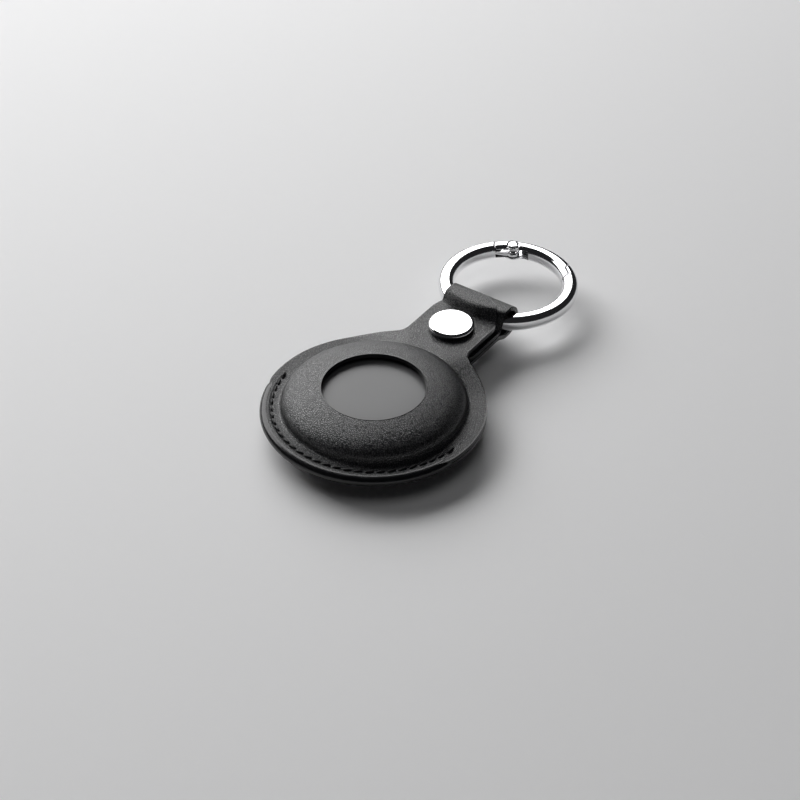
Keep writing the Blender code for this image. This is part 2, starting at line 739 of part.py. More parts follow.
def ledge_level():
    """The lugs lie under ledges of the frame. This is the top of the lugs."""
    return TAG_MID + tag_outer_height(LID_RADIUS) - LID_SKIRT + LUG_HEIGHT


def make_tag_lid():
    """The steel lid over the cell, with three bayonet lugs inside its skirt."""
    skirt_low = TAG_MID + tag_outer_height(LID_RADIUS) - LID_SKIRT
    inner = LID_RADIUS - LID_SHEET
    radii = steps(0, LID_RADIUS, CROWN_STEPS + 1)
    outline = [(r, TAG_MID + tag_outer_height(r)) for r in radii]
    outline += [(LID_RADIUS, skirt_low), (inner, skirt_low)]
    inner_radii = steps(inner, 0, CROWN_STEPS)
    outline += [(r, TAG_MID + tag_outer_height(r) - LID_SHEET) for r in inner_radii]
    lid = turned("tag_lid", outline, new_material("lid_steel", (0.07, 0.07, 0.072), 0.42, 0.0))
    for k in range(LUG_COUNT):
        middle = 2 * pi * k / LUG_COUNT
        points = sector(
            inner - LUG_DEPTH, inner + LID_SHEET / 2, middle - LUG_ANGLE / 2, middle + LUG_ANGLE / 2, 3
        )
        low = skirt_low
        lug = prism(f"lid_lug_shape_{k + 1}", points, low, low + LUG_HEIGHT)
        boolean(lid, lug, "UNION")
    return lid


def cell_base():
    return TAG_TOP - LID_SHEET - CELL_GAP - CELL_HEIGHT


def frame_floor_top():
    return cell_base() - CELL_GAP


def make_battery():
    """A coin cell: the wide can above, the smaller cap below."""
    base = cell_base()
    top = base + CELL_HEIGHT
    step = base + CELL_CAP_STEP
    outline = [(0, base), (CELL_CAP_RADIUS - CELL_EDGE, base), (CELL_CAP_RADIUS, base + CELL_EDGE)]
    outline += [(CELL_CAP_RADIUS, step), (CELL_RADIUS - CELL_EDGE, step)]
    outline += [(CELL_RADIUS, step + CELL_EDGE), (CELL_RADIUS, top - CELL_EDGE)]
    outline += [(CELL_RADIUS - CELL_EDGE, top), (0, top)]
    return turned("coin_cell", outline, steel_material("cell_steel"))


def slot_box(name, inner, outer, half_width, angle, low, high):
    """A radial slot cutter."""
    along = Vector((cos(angle), sin(angle)))
    across = Vector((-sin(angle), cos(angle)))
    corners = ((inner, -half_width), (outer, -half_width), (outer, half_width), (inner, half_width))
    points = [tuple(along * a + across * b) for a, b in corners]
    return prism(name, points, low, high)


def positive_angle(index):
    """The contacts at the cell's side stand midway between two ledges."""
    pitch = 2 * pi / LUG_COUNT
    return pitch * index + (LEDGE_LEAD + pitch - LEDGE_TRAIL) / 2


def make_tag_frame():
    """The inner frame: the cell's cup, three bayonet ledges with stops, and contact slots."""
    floor_top = frame_floor_top()
    floor_low = floor_top - FRAME_FLOOR
    wall_inner = CELL_RADIUS + CELL_GAP
    wall_outer = CUP_RADIUS
    wall_top = TAG_MID + tag_outer_height(wall_outer) - LID_SHEET - FRAME_TOP_GAP
    rim_inner = FRAME_RIM_RADIUS - FRAME_RIM_WALL
    rim_top = floor_top + FRAME_RIM_HEIGHT
    outline = [(0, floor_low), (FRAME_RIM_RADIUS, floor_low), (FRAME_RIM_RADIUS, rim_top)]
    outline += [(rim_inner, rim_top), (rim_inner, floor_top), (wall_outer, floor_top)]
    outline += [(wall_outer, wall_top), (wall_inner, wall_top), (wall_inner, floor_top), (0, floor_top)]
    frame = turned("tag_frame", outline, plastic_material("frame_grey", (0.20, 0.20, 0.21)))
    ledge_low = ledge_level() + LEDGE_GAP
    root = wall_outer - FRAME_WALL / 2
    for k in range(LUG_COUNT):
        middle = 2 * pi * k / LUG_COUNT
        points = sector(root, LEDGE_RADIUS, middle - LEDGE_TRAIL, middle + LEDGE_LEAD, 4)
        ledge = prism(f"ledge_shape_{k + 1}", points, ledge_low, ledge_low + LEDGE_HEIGHT)
        boolean(frame, ledge, "UNION")
        stop = middle - LUG_ANGLE / 2 - STOP_GAP_ANGLE
        points = sector(root, LEDGE_RADIUS, stop - STOP_ANGLE, stop, 1)
        low = ledge_level() - LUG_HEIGHT
        post = prism(f"stop_shape_{k + 1}", points, low, ledge_low + LEDGE_HEIGHT / 2)
        boolean(frame, post, "UNION")
    half_slot = CONTACT_WIDTH / 2 + CONTACT_CLEAR
    top = wall_top + OVERRUN
    for k in range(POSITIVE_COUNT):
        angle = positive_angle(k)
        outer = wall_outer + CONTACT_FOOT
        inner = CELL_RADIUS + CONTACT_GAP / 2
        slot = slot_box(f"positive_slot_cutter_{k + 1}", inner, outer, half_slot, angle, floor_low - OVERRUN, top)
        boolean(frame, slot, "DIFFERENCE")
    inner = NEGATIVE_START - CONTACT_CLEAR
    outer = NEGATIVE_END + CONTACT_CLEAR
    low = floor_low - OVERRUN
    high = floor_top + CELL_GAP / 2
    slot = slot_box("negative_slot_cutter", inner, outer, half_slot, -pi / 2, low, high)
    boolean(frame, slot, "DIFFERENCE")
    return frame


def board_top():
    return frame_floor_top() - FRAME_FLOOR - BOARD_GAP


def make_circuit_board():
    top = board_top()
    low = top - BOARD_THICKNESS
    outline = [(BOARD_HOLE_RADIUS, low), (BOARD_RADIUS, low), (BOARD_RADIUS, top), (BOARD_HOLE_RADIUS, top)]
    return turned("circuit_board", outline, plastic_material("board_green", (0.02, 0.12, 0.06)))


def make_speaker_magnet():
    """The magnet hangs under the frame's floor, inside the coil."""
    top = frame_floor_top() - FRAME_FLOOR - MAGNET_GAP
    low = top - MAGNET_HEIGHT
    outline = [(0, low), (MAGNET_RADIUS, low), (MAGNET_RADIUS, top), (0, top)]
    return turned("speaker_magnet", outline, steel_material("magnet_nickel"), FINE_TURN_STEPS)


def make_voice_coil():
    """The coil is glued to the shell's floor, which is the loudspeaker's diaphragm."""
    low = TAG_BASE + SHELL_WALL + COIL_SEAT
    inner = MAGNET_RADIUS + COIL_GAP
    outer = inner + COIL_WIDTH
    high = low + COIL_HEIGHT
    outline = [(inner, low), (outer, low), (outer, high), (inner, high)]
    return turned("voice_coil", outline, copper_material("coil_copper"), FINE_TURN_STEPS)


def strip(name, points, angle, width, material):
    """A bent sheet strip: (radius, height) points of its outline, extruded across a radius."""
    along = Vector((cos(angle), sin(angle), 0))
    across = Vector((-sin(angle), cos(angle), 0)) * width
    bm = bmesh.new()
    face = bm.faces.new([bm.verts.new(along * r + Vector((0, 0, z)) - across / 2) for r, z in points])
    extruded = bmesh.ops.extrude_face_region(bm, geom=[face])
    moved = [item for item in extruded["geom"] if isinstance(item, bmesh.types.BMVert)]
    bmesh.ops.translate(bm, verts=moved, vec=across)
    bmesh.ops.recalc_face_normals(bm, faces=bm.faces)
    return add_object(name, bm, material)


def make_contact_negative():
    """A leaf from the board up to the middle of the cell."""
    foot = board_top() + CONTACT_GAP
    tip = cell_base() - CONTACT_GAP
    start = NEGATIVE_START
    end = NEGATIVE_END
    bend = end - CONTACT_FOOT
    knee = start + CONTACT_FOOT
    upper = [(start, tip), (knee, tip), (bend, foot + CONTACT_SHEET), (end, foot + CONTACT_SHEET)]
    lower = [(end, foot), (bend, foot), (knee, tip - CONTACT_SHEET), (start, tip - CONTACT_SHEET)]
    return strip("contact_negative", upper + lower, -pi / 2, CONTACT_WIDTH, steel_material("contact_gold_1"))


def make_contact_positive(index, angle):
    """A leaf that stands on the board and presses on the cell's side."""
    foot = board_top() + CONTACT_GAP
    inner = CELL_RADIUS + CONTACT_GAP
    top = cell_base() + POSITIVE_HEIGHT
    out = inner + CONTACT_SHEET
    toe = out + CONTACT_FOOT
    points = [(inner, foot), (toe, foot), (toe, foot + CONTACT_SHEET), (out, foot + CONTACT_SHEET)]
    points += [(out, top), (inner, top)]
    material = steel_material(f"contact_gold_{index + 1}")
    return strip(f"contact_positive_{index}", points, angle, CONTACT_WIDTH, material)


# Spring gate ring, worked out about its own centre

PIN = Vector((cos(PIN_ANGLE), sin(PIN_ANGLE))) * (RING_MID_RADIUS - PIN_INSET)
TO_NOSE = Vector((sin(PIN_ANGLE), -cos(PIN_ANGLE)))
NOSE = Vector((cos(NOSE_ANGLE), sin(NOSE_ANGLE))) * RING_MID_RADIUS
NOSE_DISTANCE = (NOSE - PIN).length


def to_part(points):
    return [(x, y + RING_Y) for x, y in points]


def round_pin(distance, ring_radius, side):
    """The point at a distance from the pin and a radius from the ring's centre."""
    cosine = (PIN.length ** 2 + distance ** 2 - ring_radius ** 2) / (2 * PIN.length * distance)
    direction = PIN_ANGLE + pi + side * acos(max(min(cosine, 1.0), -1.0))
    return (PIN.x + distance * cos(direction), PIN.y + distance * sin(direction))


def pin_arc(distance, first_radius, last_radius, side, count):
    """A seam that turns about the pin, so that the gate swings clear of it."""
    return [round_pin(distance, r, side) for r in steps(first_radius, last_radius, count)]


def gate_outline(gap):
    """The gate's plan, grown by a gap: nose seam with its step, inner side, tail, outer side."""
    outside = RING_RADIUS + OVERRUN
    inside = RING_INNER_RADIUS - OVERRUN
    step = RING_MID_RADIUS - GATE_GAP / 2 + gap
    short = NOSE_DISTANCE - NOSE_STEP / 2 + gap
    long = NOSE_DISTANCE + NOSE_STEP / 2 + gap
    points = pin_arc(short, outside, step, 1, 3)
    points += pin_arc(long, step, inside, 1, 3)
    points += pin_arc(GATE_TAIL + gap, inside, outside, -1, 5)
    first = atan2(points[-1][1], points[-1][0])
    last = atan2(points[0][1], points[0][0])
    beyond = outside / cos(pi / RING_STEPS) + OVERRUN
    points += arc((0, 0), beyond, first, last, RING_STEPS // 4)
    return to_part(points)


def ring_blank(name, material):
    """The whole ring: a rounded section swept round a circle."""
    bm = bmesh.new()
    section = []
    for k in range(RING_SECTION_STEPS):
        angle = 2 * pi * k / RING_SECTION_STEPS
        quarter = abs(cos(angle)), abs(sin(angle))
        r = RING_WIDTH / 2 * quarter[0] ** (2 / RING_POWER)
        z = RING_HEIGHT / 2 * quarter[1] ** (2 / RING_POWER)
        section.append((r if cos(angle) > 0 else -r, z if sin(angle) > 0 else -z))
    rows = []
    for k in range(RING_STEPS):
        angle = 2 * pi * (k + 1 / 2) / RING_STEPS
        row = []
        for r, z in section:
            radius = RING_MID_RADIUS + r
            row.append(bm.verts.new((radius * cos(angle), RING_Y + radius * sin(angle), RING_Z + z)))
        rows.append(row)
    add_rows(bm, rows + rows[:1], closed=True)
    bmesh.ops.recalc_face_normals(bm, faces=bm.faces)
    return add_object(name, bm, material)


def pin_drum(name, radius, low, high):
    """A round cutter or boss on the pin's axis, heights from the ring's middle."""
    outline = [(0, RING_Z + low), (radius, RING_Z + low), (radius, RING_Z + high), (0, RING_Z + high)]
    return turned(name, outline, None, FINE_TURN_STEPS, (PIN.x, PIN.y + RING_Y))


def along_gate(forward, outward):
    """A plan point measured from the pin: towards the nose, and away from the centre."""
    return tuple(PIN + TO_NOSE * forward + PIN.normalized() * outward)


def head_seat():
    """Height of the pin heads' seats above the ring's middle."""
    return RING_HEIGHT / 2 - PIN_HEAD_SINK


def make_ring_body():
    """The fixed part of the ring, with the hinge's tongue and the nose's outer lip."""
    body = ring_blank("ring_body", chrome_material("ring_chrome"))
    low = RING_Z - RING_HEIGHT
    high = RING_Z + RING_HEIGHT
    gate_space = prism("gate_space_cutter", gate_outline(GATE_GAP), low, high)
    boolean(body, gate_space, "DIFFERENCE")
    tongue_low = -SLOT_HEIGHT / 2 + TONGUE_CLEAR
    root = -(GATE_TAIL + GATE_GAP + TONGUE_ROOT)
    start = asin(TONGUE_HALF_WIDTH / TONGUE_RADIUS)
    turn = atan2(TO_NOSE.y, TO_NOSE.x)
    tongue_points = arc(PIN, TONGUE_RADIUS, turn - pi + start, turn + pi - start, FINE_TURN_STEPS)
    tongue_points += [along_gate(root, TONGUE_HALF_WIDTH), along_gate(root, -TONGUE_HALF_WIDTH)]
    tongue = prism(
        "tongue_shape", to_part(tongue_points), RING_Z + tongue_low, RING_Z + tongue_low + TONGUE_THICKNESS
    )
    boolean(body, tongue, "UNION")
    hole = pin_drum("tongue_hole_cutter", PIN_RADIUS + PIN_CLEAR, -RING_HEIGHT, RING_HEIGHT)
    boolean(body, hole, "DIFFERENCE")
    return body


def make_ring_gate():
    """The sprung gate: forked at the hinge, with a barrel round the pin and a stepped nose."""
    gate = ring_blank("ring_gate", chrome_material("gate_chrome"))
    low = RING_Z - RING_HEIGHT
    high = RING_Z + RING_HEIGHT
    boolean(gate, prism("gate_shape", gate_outline(0), low, high), "INTERSECT")
    half = RING_HEIGHT / 2 - BARREL_INSET
    boolean(gate, pin_drum("barrel_shape", BARREL_RADIUS, -half, half), "UNION")
    side = RING_WIDTH + OVERRUN
    back = -GATE_TAIL - OVERRUN
    corners = ((back, -side), (SLOT_REACH, -side), (SLOT_REACH, side), (back, side))
    points = to_part([along_gate(a, b) for a, b in corners])
    slot = prism("hinge_slot_cutter", points, RING_Z - SLOT_HEIGHT / 2, RING_Z + SLOT_HEIGHT / 2)
    boolean(gate, slot, "DIFFERENCE")
    wall = RING_RADIUS - RECESS_WALL
    start = PIN_ANGLE - SLOT_REACH / RING_MID_RADIUS + OVERRUN / RING_MID_RADIUS
    end = PIN_ANGLE - (SLOT_REACH + RECESS_LENGTH) / RING_MID_RADIUS
    points = to_part(sector(RING_INNER_RADIUS - OVERRUN, wall, start, end, 4))
    reach = SLOT_HEIGHT / 2 + RECESS_STEP
    recess = prism("spring_recess_cutter", points, RING_Z - reach, RING_Z + reach)
    boolean(gate, recess, "DIFFERENCE")
    bore = pin_drum("gate_bore_cutter", PIN_RADIUS + PIN_CLEAR, -RING_HEIGHT, RING_HEIGHT)
    boolean(gate, bore, "DIFFERENCE")
    seat_radius = PIN_HEAD_RADIUS + PIN_CLEAR
    upper = pin_drum("upper_seat_cutter", seat_radius, head_seat() - PIN_CLEAR, RING_HEIGHT)
    boolean(gate, upper, "DIFFERENCE")
    lower = pin_drum("lower_seat_cutter", seat_radius, -RING_HEIGHT, -head_seat() + PIN_CLEAR)
    boolean(gate, lower, "DIFFERENCE")
    return gate


def make_gate_pin():
    """The hinge pin, riveted over at both ends."""
    seat = head_seat()
    top = seat + PIN_HEAD_HEIGHT
    edge = PIN_HEAD_RADIUS - PIN_HEAD_ROUND
    half = [(PIN_RADIUS, seat), (PIN_HEAD_RADIUS, seat), (PIN_HEAD_RADIUS, top - PIN_HEAD_ROUND), (edge, top)]
    upper = [(r, RING_Z + z) for r, z in half] + [(0, RING_Z + top)]
    lower = [(0, RING_Z - top)] + [(r, RING_Z - z) for r, z in reversed(half)]
    centre = (PIN.x, PIN.y + RING_Y)
    return turned("gate_pin", lower + upper, chrome_material("pin_chrome"), FINE_TURN_STEPS, centre)


def wire(name, points, diameter, material, resolution):
    """One unbroken round wire through points."""
    curve = bpy.data.curves.new(name, "CURVE")
    curve.dimensions = "3D"
    curve.bevel_depth = diameter / 2
    curve.bevel_resolution = resolution
    curve.use_fill_caps = True
    spline = curve.splines.new("POLY")
    spline.points.add(len(points) - 1)
    for point, place in zip(spline.points, points):
        point.co = (*place, 1.0)
    curve.materials.append(material)
    obj = bpy.data.objects.new(name, curve)
    bpy.context.scene.collection.objects.link(obj)
    return obj


def gate_spring_points():
    """A torsion spring: a leg on the tongue, the coil round the pin, a leg in the gate."""
    tongue_top = -SLOT_HEIGHT / 2 + TONGUE_CLEAR + TONGUE_THICKNESS
    base = RING_Z + tongue_top + SPRING_SEAT + SPRING_WIRE / 2
    count = 10 * SPRING_TURNS
    points = []
    for share in steps(0, 1, count):
        angle = PIN_ANGLE - SPRING_WRAP * share
        z = base + SPRING_RISE * share
        points.append(Vector((PIN.x + SPRING_RADIUS * cos(angle), PIN.y + SPRING_RADIUS * sin(angle), z)))
    start_way = Vector((-TO_NOSE.x, -TO_NOSE.y, 0))
    end_angle = PIN_ANGLE - SPRING_WRAP - pi / 2
    end_way = Vector((cos(end_angle), sin(end_angle), 0))
    points.insert(0, points[0] + start_way * SPRING_BODY_LEG)
    points.append(points[-1] + end_way * SPRING_GATE_LEG)
    return [(p.x, p.y + RING_Y, p.z) for p in points]


def least_gap(points, diameter, apart):
    """The least gap of a wire to itself, between runs at least so far apart along it."""
    fine = []
    for a, b in zip(points, points[1:]):
        fine += [Vector(a).lerp(Vector(b), k / 12) for k in range(12)]
    walked = [0.0]
    for a, b in zip(fine, fine[1:]):
        walked.append(walked[-1] + (b - a).length)
    least = None
    for i, p in enumerate(fine):
        for j in range(i + 1, len(fine)):
            if walked[j] - walked[i] < apart:
                continue
            gap = (p - fine[j]).length - diameter
            least = gap if least is None else min(least, gap)
    return least


def make_gate_spring():
    points = gate_spring_points()
    gap = least_gap(points, SPRING_WIRE, pi * SPRING_RADIUS)
    print("gate spring, least gap to itself in mm:", round(gap * 1000, 3))
    return wire("gate_spring", points, SPRING_WIRE, steel_material("gate_spring_steel"), 1)


def build():
    for obj in list(bpy.data.objects):
        bpy.data.objects.remove(obj, do_unlink=True)

    make_rear_panel()
    make_front_panel()
    make_snap_stud()
    make_snap_rivet()

    flap_axis = add_axis("flap_lift_axis", (0, -HINGE_OFFSET, DOME_TOP), WINDOW_RADIUS)
    carry(flap_axis, make_front_flap(), make_snap_cap(), make_snap_socket(), make_snap_spring())

    tag_axis = add_axis("tag_turn_axis", (0, 0, TAG_MID), TAG_RADIUS)
    carry(tag_axis, make_tag_shell(), make_tag_frame(), make_battery(), make_circuit_board())
    carry(tag_axis, make_speaker_magnet(), make_voice_coil(), make_contact_negative())
    for k in range(POSITIVE_COUNT):
        carry(tag_axis, make_contact_positive(k + 1, positive_angle(k)))
    lid_axis = add_axis("lid_turn_axis", (0, 0, TAG_TOP), LID_RADIUS)
    carry(lid_axis, make_tag_lid())

    ring_axis = add_axis("ring_swing_axis", (0, SWING_Y, RING_Z), RING_WIDTH)
    carry(ring_axis, make_ring_body(), make_gate_pin(), make_gate_spring())
    gate_axis = add_axis("gate_hinge_axis", (PIN.x, PIN.y + RING_Y, RING_Z), RING_WIDTH)
    carry(gate_axis, make_ring_gate())


build()
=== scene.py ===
# %% [markdown]
# # A leather holder for a round tracker tag
# The holder is dark leather: a moulded front with a round window, a moulded back that runs on
# into a strap, a snap that shuts the neck, and a chrome ring with a sprung gate.
# We load the imported solids as a fixed frame and then dress the frame piece by piece.
# We think in millimetres and scale each piece down to metres when it is finished.

# %% Load the frame
from math import acos, asin, atan2, cos, hypot, pi, radians, sin, sqrt

import bmesh
import bpy
from mathutils import Euler, Matrix, Vector


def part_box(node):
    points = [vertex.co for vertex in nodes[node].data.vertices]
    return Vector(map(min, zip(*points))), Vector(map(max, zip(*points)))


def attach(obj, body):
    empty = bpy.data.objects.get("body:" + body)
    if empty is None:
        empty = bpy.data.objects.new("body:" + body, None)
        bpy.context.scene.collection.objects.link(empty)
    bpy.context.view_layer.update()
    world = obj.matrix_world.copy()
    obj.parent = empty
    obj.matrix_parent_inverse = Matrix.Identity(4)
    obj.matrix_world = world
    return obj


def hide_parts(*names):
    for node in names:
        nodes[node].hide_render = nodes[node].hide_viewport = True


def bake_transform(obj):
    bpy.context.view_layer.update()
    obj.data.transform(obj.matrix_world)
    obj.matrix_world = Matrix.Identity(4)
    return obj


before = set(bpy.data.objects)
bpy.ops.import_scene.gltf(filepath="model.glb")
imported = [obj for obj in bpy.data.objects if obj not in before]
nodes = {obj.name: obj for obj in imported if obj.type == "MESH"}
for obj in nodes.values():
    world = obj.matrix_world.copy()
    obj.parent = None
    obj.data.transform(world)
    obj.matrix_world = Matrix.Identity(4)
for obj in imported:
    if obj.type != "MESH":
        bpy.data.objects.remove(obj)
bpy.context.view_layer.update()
MM = 0.001

# %% [markdown]
# ## Small helpers
# Every operator acts on what is selected, so each piece starts from a clean selection.
# `draw_line` lays out, point by point, the lines that are spun or extruded later.
# `finish_piece` brings a piece from millimetres to metres, bakes its place into its mesh,
# smooths it, and tells the frame which body it rides on and which solids it stands for.

# %% Selecting and finishing


def only(obj):
    if bpy.context.object and bpy.context.object.mode != "OBJECT":
        bpy.ops.object.mode_set(mode="OBJECT")
    bpy.ops.object.select_all(action="DESELECT")
    obj.select_set(True)
    bpy.context.view_layer.objects.active = obj
    return obj


def named(name):
    """Names the piece that an operator has just added."""
    obj = bpy.context.object
    obj.name = name
    obj.data.name = name
    return only(obj)


def edit(obj, kind="VERT"):
    only(obj)
    bpy.ops.object.mode_set(mode="EDIT")
    bpy.ops.mesh.select_mode(type=kind)
    bpy.ops.mesh.select_all(action="DESELECT")
    return bmesh.from_edit_mesh(obj.data)


def pick(mesh, items, test):
    """Selects the vertices, edges or faces of an edit mesh whose place passes a test."""
    for item in items:
        if test(item):
            item.select_set(True)
    mesh.select_flush_mode()


def object_mode():
    bpy.ops.object.mode_set(mode="OBJECT")


def modify(obj, kind, **values):
    """Adds a modifier and applies it."""
    only(obj)
    modifier = obj.modifiers.new(kind.lower(), kind)
    for key, value in values.items():
        setattr(modifier, key, value)
    bpy.ops.object.modifier_apply(modifier=modifier.name)
    return obj


def draw_line(name, places, closed=False):
    """Draws a line point by point: a plane is merged to one vertex, which is extruded on and on."""
    bpy.ops.object.select_all(action="DESELECT")
    bpy.ops.mesh.primitive_plane_add(size=1, location=(0, 0, 0))
    obj = named(name)
    edit(obj)
    bpy.ops.mesh.select_all(action="SELECT")
    bpy.ops.mesh.merge(type="CENTER")
    bpy.ops.transform.translate(value=places[0])
    for start, end in zip(places, places[1:]):
        bpy.ops.mesh.extrude_vertices_move(TRANSFORM_OT_translate={"value": Vector(end) - Vector(start)})
    if closed:
        mesh = edit(obj)
        pick(mesh, mesh.verts, lambda v: len(v.link_edges) == 1)
        bpy.ops.mesh.edge_face_add()
    object_mode()
    return obj


def cut(obj, cutter, operation="DIFFERENCE"):
    """Cuts a piece with another object, which is then thrown away."""
    modify(obj, "BOOLEAN", operation=operation, object=cutter, solver="EXACT")
    bpy.data.objects.remove(cutter, do_unlink=True)
    return obj


def finish_piece(obj, body, replaced, materials=(), angle=40, scale=MM):
    only(obj)
    obj.scale = (scale, scale, scale)
    bpy.ops.object.transform_apply(location=True, rotation=True, scale=True)
    bpy.ops.object.shade_smooth_by_angle(angle=radians(angle))
    for material in materials:
        obj.data.materials.append(material)
    if body:
        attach(obj, body)
    if replaced:
        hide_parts(*replaced)
    print(obj.name, "faces:", len(obj.data.polygons))
    return obj


# %% [markdown]
# ## Node trees in few lines
# A material is a handful of nodes joined by links. `tree_add` makes a node and sets its
# inputs by name, so that each material below reads as a recipe.

# %% Helpers for nodes


def tree_add(tree, kind, settings=None, **inputs):
    node = tree.nodes.new(kind)
    for key, value in (settings or {}).items():
        setattr(node, key, value)
    for key, value in inputs.items():
        numbered = key.startswith("in") and key[2:].isdigit()
        socket = node.inputs[int(key[2:]) if numbered else key.replace("_", " ")]
        if isinstance(value, bpy.types.NodeSocket):
            tree.links.new(value, socket)
        else:
            socket.default_value = value
    return node


def math_node(tree, operation, a, b=None, clamp=False):
    node = tree_add(tree, "ShaderNodeMath", {"operation": operation, "use_clamp": clamp}, in0=a)
    if isinstance(b, bpy.types.NodeSocket):
        tree.links.new(b, node.inputs[1])
    elif b is not None:
        node.inputs[1].default_value = b
    return node.outputs[0]


def ramp(tree, value, low, high):
    """0 below low, 1 above high, smooth in between."""
    node = tree_add(tree, "ShaderNodeMapRange", {"interpolation_type": "SMOOTHSTEP"}, Value=value)
    node.inputs["From Min"].default_value = low
    node.inputs["From Max"].default_value = high
    return node.outputs["Result"]


def mix_colour(tree, factor, low, high):
    node = tree_add(tree, "ShaderNodeMix", {"data_type": "RGBA"})
    tree.links.new(factor, node.inputs[0])
    node.inputs[6].default_value = (*low, 1)
    node.inputs[7].default_value = (*high, 1)
    return node.outputs[2]


def new_group(name, inputs, outputs):
    group = bpy.data.node_groups.new(name, "ShaderNodeTree")
    for socket_name, kind, value in inputs:
        socket = group.interface.new_socket(socket_name, in_out="INPUT", socket_type=kind)
        if value is not None:
            socket.default_value = value
    for socket_name, kind in outputs:
        group.interface.new_socket(socket_name, in_out="OUTPUT", socket_type=kind)
    return group, group.nodes.new("NodeGroupInput").outputs, group.nodes.new("NodeGroupOutput").inputs


def new_material(name, colour, roughness, metallic=0.0):
    material = bpy.data.materials.new(name)
    material.use_nodes = True
    tree = material.node_tree
    shader = tree.nodes["Principled BSDF"]
    shader.inputs["Base Color"].default_value = (*colour, 1)
    shader.inputs["Roughness"].default_value = roughness
    shader.inputs["Metallic"].default_value = metallic
    place = tree_add(tree, "ShaderNodeTexCoord").outputs["Object"]
    return material, tree, shader, place


def add_group(tree, group, **inputs):
    return tree_add(tree, "ShaderNodeGroup", {"node_tree": group}, **inputs).outputs


# %% [markdown]
# ## Leather grain
# Corrected leather is a skin of small pebbles with finer pores between them. One Voronoi
# texture gives the pebbles, warped by a noise so that no cell is regular, a finer noise gives
# the pores, and a slower noise lets the tone drift as on a real hide. The group puts out a
# height, which drives the bump, the roughness and the gloss, and a tone for colour; both
# leather materials use its default scales.

# %% The grain group
leather_grain, given, wanted = new_group(
    "leather_grain",
    [("Vector", "NodeSocketVector", None), ("Pebble Scale", "NodeSocketFloat", 2400.0),
     ("Tone Scale", "NodeSocketFloat", 160.0)],
    [("Height", "NodeSocketFloat"), ("Tone", "NodeSocketFloat")],
)
warp = tree_add(leather_grain, "ShaderNodeTexNoise", Vector=given["Vector"], Scale=900.0, Detail=2.0)
warp_mix = tree_add(
    leather_grain, "ShaderNodeVectorMath", {"operation": "SCALE"}, in0=warp.outputs["Color"]
)
warp_mix.inputs["Scale"].default_value = 0.0004
warped = tree_add(
    leather_grain, "ShaderNodeVectorMath", {"operation": "ADD"},
    in0=given["Vector"], in1=warp_mix.outputs[0],
)
pebbles = tree_add(
    leather_grain, "ShaderNodeTexVoronoi", {"feature": "DISTANCE_TO_EDGE"},
    Vector=warped.outputs[0], Scale=given["Pebble Scale"],
)
pebble_height = ramp(leather_grain, pebbles.outputs["Distance"], 0.0, 0.28)
pores = tree_add(leather_grain, "ShaderNodeTexNoise", Vector=given["Vector"], Scale=7000.0, Detail=3.0)
pore_height = math_node(leather_grain, "MULTIPLY", pores.outputs["Fac"], 0.5)
leather_grain.links.new(math_node(leather_grain, "ADD", pebble_height, pore_height), wanted["Height"])
drift = tree_add(
    leather_grain, "ShaderNodeTexNoise", Vector=given["Vector"], Scale=given["Tone Scale"], Detail=4.0
)
leather_grain.links.new(ramp(leather_grain, drift.outputs["Fac"], 0.35, 0.65), wanted["Tone"])
print("grain group nodes:", len(leather_grain.nodes))

# %% [markdown]
# ## The leather
# The hide is near black, and most of what we see of it is the sheen of its waxy finish, which
# is strong on top of the pebbles and weak in the valleys. So the grain drives the gloss as
# well as the bump. The flat rim was pressed and rubbed and is duller, and the sewing pulls a
# row of small dents along its lower half. Both follow the round body, so their masks are
# drawn from the distance to the tag's axis.

# %% Leather face
STITCH_RADIUS = 20.4
STITCH_COUNT = 28
STITCH_START = radians(186)
STITCH_END = radians(354)


def rim_marks(tree, place):
    """Depth of the sewn row and the mask of the flat rim, from 0 to 1."""
    split = tree_add(tree, "ShaderNodeSeparateXYZ", Vector=place).outputs
    squares = [math_node(tree, "POWER", split[axis], 2.0) for axis in ("X", "Y")]
    reach = math_node(tree, "SQRT", math_node(tree, "ADD", *squares))
    off_row = math_node(tree, "ABSOLUTE", math_node(tree, "SUBTRACT", reach, STITCH_RADIUS * MM))
    row = math_node(tree, "SUBTRACT", 1.0, ramp(tree, off_row, 0.1 * MM, 0.6 * MM))
    lower = math_node(tree, "SUBTRACT", 1.0, ramp(tree, split["Y"], -3.0 * MM, -1.4 * MM))
    row = math_node(tree, "MULTIPLY", row, lower)
    round_part = math_node(tree, "SUBTRACT", 1.0, ramp(tree, split["Y"], 14 * MM, 20 * MM))
    return row, math_node(tree, "MULTIPLY", ramp(tree, reach, 18.6 * MM, 19.6 * MM), round_part)


